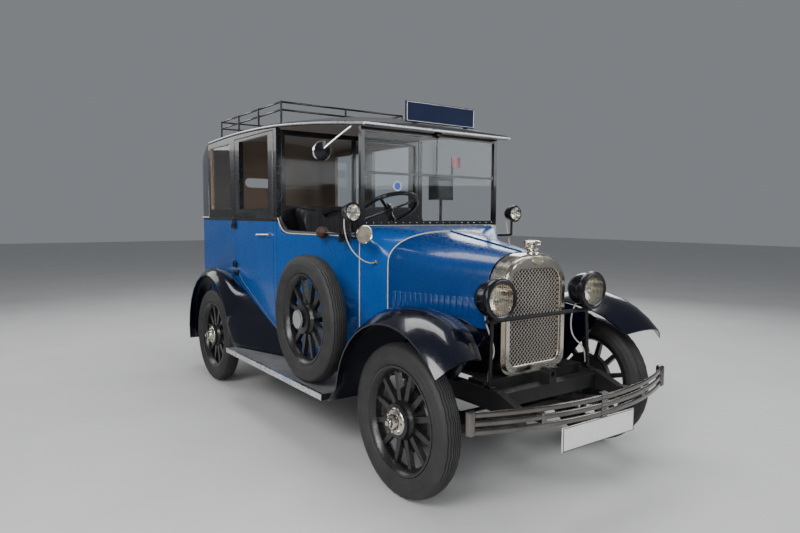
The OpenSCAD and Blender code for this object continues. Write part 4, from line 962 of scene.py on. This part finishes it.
tyre = {"radius": 0.376, "steps": 132, "zigzag": 0.0016, "grooveDepth": 0.0060,
        "treadFrom": 0.3595, "shoulder": 0.0460, "notch": 0.0022}
wheels = {"frontX": 1.400, "rearX": -1.250, "side": 0.711, "high": 0.376, "spare": (0.527, -0.780, 0.7583)}


def treadTop(y):
    return tyre["radius"] - 0.012*(y/0.047)**2


def tyreProfile():
    # one half of the section from the bead out to the middle of the tread
    side = [(0.2685, 0.040), (0.272, 0.0455), (0.280, 0.050), (0.288, 0.0545)]
    for r, y in ((0.296, 0.0585), (0.306, 0.0608), (0.316, 0.0618), (0.326, 0.0612), (0.336, 0.0588)):
        side += [(r - 0.002, y), (r, y + 0.0011), (r + 0.002, y)]
    side += [(0.345, 0.0565), (0.352, 0.0540), (0.3585, 0.0500)]
    tread = []
    for low, high in ((0.0355, 0.0465), (0.0215, 0.0315), (0.0075, 0.0175)):
        deep = treadTop(low) - tyre["grooveDepth"]
        tread += [(treadTop(high), high), (treadTop(low), low), (deep, low - 0.0005), (deep, low - 0.0035)]
    tread[-2:] = [(tyre["radius"] - 0.006, 0.0070), (tyre["radius"] - 0.006, 0.0040)]
    return side + tread + [(tyre["radius"], 0.0035)]


def buildTyre(name, place, body, replaced):
    half = tyreProfile()
    profile = half + [(r, -y) for r, y in reversed(half)]
    bm = bmesh.new()
    turned(bm, profile + [(0.2685, -0.040)], (0, 0, 0), "Y", tyre["steps"])
    step = math.tau/tyre["steps"]
    for v in bm.verts:
        if math.hypot(v.co.x, v.co.z) <= tyre["treadFrom"]:
            continue
        turn = round(math.atan2(v.co.x, v.co.z)/step)
        if abs(v.co.y) < tyre["shoulder"]:
            v.co.y += tyre["zigzag"]*(1 if turn % 4 < 2 else -1)
        else:
            v.co.y -= math.copysign(tyre["notch"] if turn % 3 == 0 else 0, v.co.y)
    bmesh.ops.translate(bm, verts=bm.verts, vec=place)
    return addPiece(name, bm, "tyreRubber", body, sharp=38, replaces=(replaced,))


def hubParts(name, place, side, body):
    # flange, bolts, square nut and cap on the outer face of a wheel; side is the way that it faces
    flange, bolts = bmesh.new(), bmesh.new()
    turned(flange, [(0.0001, 0.098), (0.014, 0.098), (0.018, 0.094), (0.0185, 0.088), (0.026, 0.087),
                    (0.034, 0.083), (0.037, 0.076), (0.040, 0.064), (0.060, 0.060), (0.0660, 0.056),
                    (0.068, 0.052), (0.068, 0.048)], (0, 0, 0), "Y", 40)
    for i in range(7):
        a = math.tau*i/7
        move = Matrix.Translation((0.052*math.cos(a), 0.064, 0.052*math.sin(a)))
        bmesh.ops.create_cone(bolts, segments=6, radius1=0.0085, radius2=0.0085, depth=0.010, cap_ends=True,
                              matrix=move @ Matrix.Rotation(math.pi/2, 4, "X"))
    boxShape(bolts, (-0.011, 0.096, -0.011), (0.011, 0.108, 0.011))
    for part in (flange, bolts):
        mirrorTo(side, part)
        bmesh.ops.translate(part, verts=part.verts, vec=place)
    addPiece(name + "Flange", flange, "nickel", body, sharp=40)
    roundEdges(addPiece(name + "Bolts", bolts, "nickel", body), 0.0012)


for end in ("front", "rear"):
    for side, sign in (("left", 1), ("right", -1)):
        node, label = f"{end}_{side}", end + side.capitalize()
        rides, place = node + "_road_wheel", (wheels[end + "X"], sign*wheels["side"], wheels["high"])
        refined(node + "_wheel", "wheelRim", rides, sharp=40)
        buildTyre(label + "Tyre", place, rides, node + "_tyre")
        hubParts(label + "Hub", place, sign, rides)

refined("spare_wheel", "wheelRim", sharp=40)
buildTyre("spareTyreRound", wheels["spare"], "cab", "spare_tyre")
turnedPiece("spareDisc", [(0.0001, -0.0795), (0.038, -0.0795), (0.050, -0.079), (0.056, -0.0765),
                          (0.057, -0.070)], wheels["spare"], "spareDisc", "Y")
print("wheels are built")

# ---- wings, boards and chassis

refined("wings", "wingPaint", sharp=55)


boards = {"back": -0.650, "front": 0.8244, "outer": 0.8625, "ribs": 22, "ribHalf": 0.0045}


def boardParts():
    refined("running_boards", "framePaint", slot="board_rubber", edge=0.002)
    for sign, name in sides:
        mat = bmesh.new()
        for i in range(boards["ribs"]):
            y = blend(0.528, 0.838, i/(boards["ribs"] - 1))
            boxShape(mat, (-0.640, y - boards["ribHalf"], 0.3815), (0.815, y + boards["ribHalf"], 0.3845))
        mirrorTo(sign, mat)
        roundEdges(addPiece("boardMat" + name, mat, "matRubber"), 0.001)
        strip = bmesh.new()
        bands = [(0.8595, 0.3515 + 0.0065*i, boards["outer"], 0.3560 + 0.0065*i) for i in range(5)]
        bands += [(0.842, 0.3820, boards["outer"], 0.3850), (0.8585, 0.350, 0.8605, 0.384)]
        for y, z, outer, top in bands:
            boxShape(strip, (boards["back"], y, z), (boards["front"], outer, top))
        mirrorTo(sign, strip)
        roundEdges(addPiece("boardEdge" + name, strip, "silverTrim"), 0.001)


boardParts()

bumper = {"nose": 2.020, "half": 0.709, "bow": 0.150, "thick": 0.012, "high": 0.026,
          "bars": (0.431, 0.469, 0.507)}


def bumperBar(bm, low):
    # an upright oval section swung round the shallow arc of the bar
    radius = (bumper["half"]**2 + bumper["bow"]**2)/(2*bumper["bow"])
    reach = math.asin((bumper["half"] - 0.004)/radius)
    hub = Vector((bumper["nose"] - radius, 0, 0))
    made = []
    for i in range(16):
        a = math.tau*i/16
        out = math.copysign(abs(math.cos(a))**0.7, math.cos(a))*bumper["thick"]/2
        rise = math.copysign(abs(math.sin(a))**0.6, math.sin(a))*bumper["high"]/2
        made.append(bm.verts.new((hub.x + radius - bumper["thick"]/2 + out, 0, low + bumper["high"]/2 +
                                  rise)))
    loop = made + [bm.edges.new((made[i - 1], made[i])) for i in range(16)]
    bmesh.ops.rotate(bm, verts=made, cent=hub, matrix=Matrix.Rotation(-reach, 3, "Z"))
    bmesh.ops.spin(bm, geom=loop, cent=hub, axis=(0, 0, 1), angle=2*reach, steps=48)


bars = bmesh.new()
for low in bumper["bars"]:
    bumperBar(bars, low)
bmesh.ops.holes_fill(bars, edges=bars.edges)
addPiece("bumperBars", bars, "bumperNickel", sharp=50, replaces=("bumper",))
ends = bmesh.new()
for sign in (1, -1):
    turned(ends, [(0.0001, 0.426), (0.014, 0.427), (0.021, 0.433), (0.022, 0.440), (0.022, 0.530),
                  (0.021, 0.537), (0.014, 0.543), (0.0001, 0.544)], (1.862, sign*0.703, 0), "Z", 28)
addPiece("bumperEnds", ends, "bumperNickel")
boxPiece("bumperBrackets", [((1.9115, y - 0.016, 0.452), (1.980, y + 0.016, 0.498))
                            for y in (0.370, -0.370)], "bumperNickel", 0.003)
clampRibs = [((2.0170, -0.0235, 0.4275 + 0.0125*i), (2.0222, 0.0235, 0.4350 + 0.0125*i)) for i in range(9)]
boxPiece("bumperClamp", [((1.996, -0.0215, 0.423), (2.0185, 0.0215, 0.542))] + clampRibs, "bumperNickel",
         0.0015)

for node in ("chassis_frame", "front_axle", "rear_axle"):
    refined(node, "framePaint")
refined("leaf_springs", "steel", edge=0.002)
for node in ("knuckle_left", "knuckle_right", "track_rod"):
    refined(node, "framePaint", body=node, edge=0.002)
refined("engine_block", "castIron", edge=0.012, segments=3)
refined("drive_line", "castIron", edge=0.010, segments=3)
refined("exhaust", "steel")
refined("floor", "floorboards", edge=0.002)
refined("roof_rack", "blackPaint", edge=0.0)
print("chassis is built")

# ---- sign, plates and glass

refined("sign_board", "signPaint")
frameLine = [(0.7735, -0.252, 1.926), (0.7735, 0.272, 1.926), (0.7735, 0.272, 2.036),
             (0.7735, -0.252, 2.036), (0.7735, -0.252, 1.926)]
pipe("signFrame", frameLine, 0.0022, "silverTrim", smooth=False)

refined("number_plates", "whiteEnamel", edge=0.002)
plateEdge = [(2.0125, -0.282, 0.3127), (2.0125, 0.242, 0.3127), (2.0125, 0.242, 0.4187),
             (2.0125, -0.282, 0.4187), (2.0125, -0.282, 0.3127)]
pipe("plateBorder", plateEdge, 0.0022, "blackPaint", smooth=False)
dress("clearGlass", "window_glass")

# ---- driver's controls

refined("steering_column", "blackPaint")
refined("steering_wheel", "wheelRim", body="steering_wheel", slot="dark_plastic", edge=0.002, sharp=45)


def wheelCap():
    bm = bmesh.new()
    turned(bm, [(0.0001, 0.024), (0.012, 0.023), (0.020, 0.018), (0.023, 0.010), (0.023, 0.0)], (0, 0, 0),
           "Z", 32)
    turn = Matrix.Translation((0.5, -0.2, 1.405)) @ Matrix.Rotation(math.radians(-30), 4, "Y")
    bmesh.ops.transform(bm, verts=bm.verts, matrix=turn @ Matrix.Translation((0, 0, 0.013)))
    return bm


addPiece("wheelCap", wheelCap(), "brightNickel", "steering_wheel")

refined("taximeter", "blackPaint", slot="dark_plastic", edge=0.006, segments=3)
boxPiece("meterFace", [((0.4685, 0.162, 1.500), (0.4700, 0.268, 1.585))], "dialFace", 0.0006)
boxPiece("meterFlag", [((0.515, 0.304, 1.690), (0.525, 0.380, 1.760))], "redPaint", 0.002)

# ---- seats

seats = {"rounding": 0.035, "clothPressure": 4.0, "clothFrames": 20, "voxel": 0.014, "driverPleats": 9,
         "rearPleats": 10, "fill": 0.6}


def padFrom(low, high):
    bm = bmesh.new()
    boxShape(bm, low, high)
    bmesh.ops.bevel(bm, geom=bm.edges[:], offset=seats["rounding"], affect="EDGES", segments=4, profile=0.5,
                    material=-1)
    bmesh.ops.recalc_face_normals(bm, faces=bm.faces)
    return bm


def settle(piece):
    # voxel remesh, then a short cloth blow-up
    bpy.context.view_layer.objects.active = piece
    remesh = piece.modifiers.new("remesh", "REMESH")
    remesh.mode = "VOXEL"
    remesh.voxel_size = seats["voxel"]
    cloth = piece.modifiers.new("cloth", "CLOTH")
    cloth.settings.use_pressure = True
    cloth.settings.uniform_pressure_force = seats["clothPressure"]
    cloth.settings.effector_weights.gravity = 0
    cloth.settings.quality = 5
    cloth.point_cache.frame_start = 1
    cloth.point_cache.frame_end = seats["clothFrames"]
    for step in range(1, seats["clothFrames"] + 1):
        scene.frame_set(step)
    depsgraph = bpy.context.evaluated_depsgraph_get()
    mesh = bpy.data.meshes.new_from_object(piece.evaluated_get(depsgraph))
    piece.modifiers.clear()
    old = piece.data
    piece.data = mesh
    mesh.name = old.name
    scene.frame_set(1)


def makePad(name, node, low, high, finish, count, depth, top=2, first=False):
    axis = 1
    low, high = Vector(low), Vector(high)
    bm = padFrom(low, high)
    piece = addPiece(name, bm, finish, sharp=180, recalc=False, replaces=(node,) if first else ())
    settle(piece)
    bm = bmesh.new()
    bm.from_mesh(piece.data)
    span = high[axis] - low[axis]
    for v in bm.verts:
        # kept inside the pad's own box
        for i in range(3):
            v.co[i] = min(max(v.co[i], low[i] - 0.001), high[i] + 0.001)
        # channels across the face that people sit against
        t = (v.co[axis] - low[axis])/span*count
        near = abs(t - round(t))
        edge = min(t, count - t)
        if edge > 0.4 and near < 0.22:
            face = (v.co[top] - low[top])/(high[top] - low[top])
            if face > 0.55:
                v.co[top] -= depth*math.cos(near/0.22*math.pi/2)*min(1, (face - 0.55)/0.3)
    bm.to_mesh(piece.data)
    bm.free()
    piece.data.shade_smooth()
    smoothSkin(piece, 1)
    return piece


makePad("driverCushion", "driver_seat", (-0.178, -0.541, 0.757), (0.262, -0.039, 0.872), "blackLeather",
        seats["driverPleats"], 0.009, first=True)
makePad("driverBack", "driver_seat", (-0.211, -0.541, 0.876), (-0.106, -0.039, 1.450), "blackLeather",
        seats["driverPleats"], 0.009, top=0)
boxPiece("driverBase", [((-0.172, -0.532, 0.5555), (0.226, -0.054, 0.755))], "blackPaint", 0.008, 3,
         slot="black_leather")
makePad("rearCushion", "passenger_seat", (-1.796, -0.550, 0.750), (-1.281, 0.550, 0.872), "seatCloth",
        seats["rearPleats"], 0.010, first=True)
makePad("rearBack", "passenger_seat", (-1.856, -0.550, 0.876), (-1.712, 0.550, 1.320), "seatCloth",
        seats["rearPleats"], 0.010, top=0)
boxPiece("rearBase", [((-1.797, -0.503, 0.5555), (-1.319, 0.503, 0.745))], "seatCloth", 0.008, 3)
pipe("seatPiping", [(-0.178, -0.535, 0.868), (0.10, -0.538, 0.872), (0.250, -0.530, 0.868),
                    (0.259, -0.45, 0.868), (0.259, -0.12, 0.868), (0.248, -0.048, 0.868)], 0.0045,
     "blackLeather")
print("seats are built")

# ---- floor of the scene and the sky


def makeFloor():
    bm = bmesh.new()
    bmesh.ops.create_grid(bm, x_segments=1, y_segments=1, size=stage["floorSize"]/2)
    mesh = bpy.data.meshes.new("groundPlane")
    bm.to_mesh(mesh)
    bm.free()
    material = makeFinish("groundFinish", stage["floorColor"], tuple(c*0.94 for c in stage["floorColor"]),
                          (0.75, 0.85), scale=1.5, bump=0.05)
    mesh.materials.append(material)
    ground = bpy.data.objects.new("groundPlane", mesh)
    ground.location.z = -0.001
    scene.collection.objects.link(ground)


makeFloor()
world = bpy.data.worlds.new("studioSky")
scene.world = world
world.use_nodes = True
backdrop = world.node_tree.nodes["Background"]
backdrop.inputs["Color"].default_value = stage["skyColor"]
backdrop.inputs["Strength"].default_value = stage["skyStrength"]

print("scene is ready")
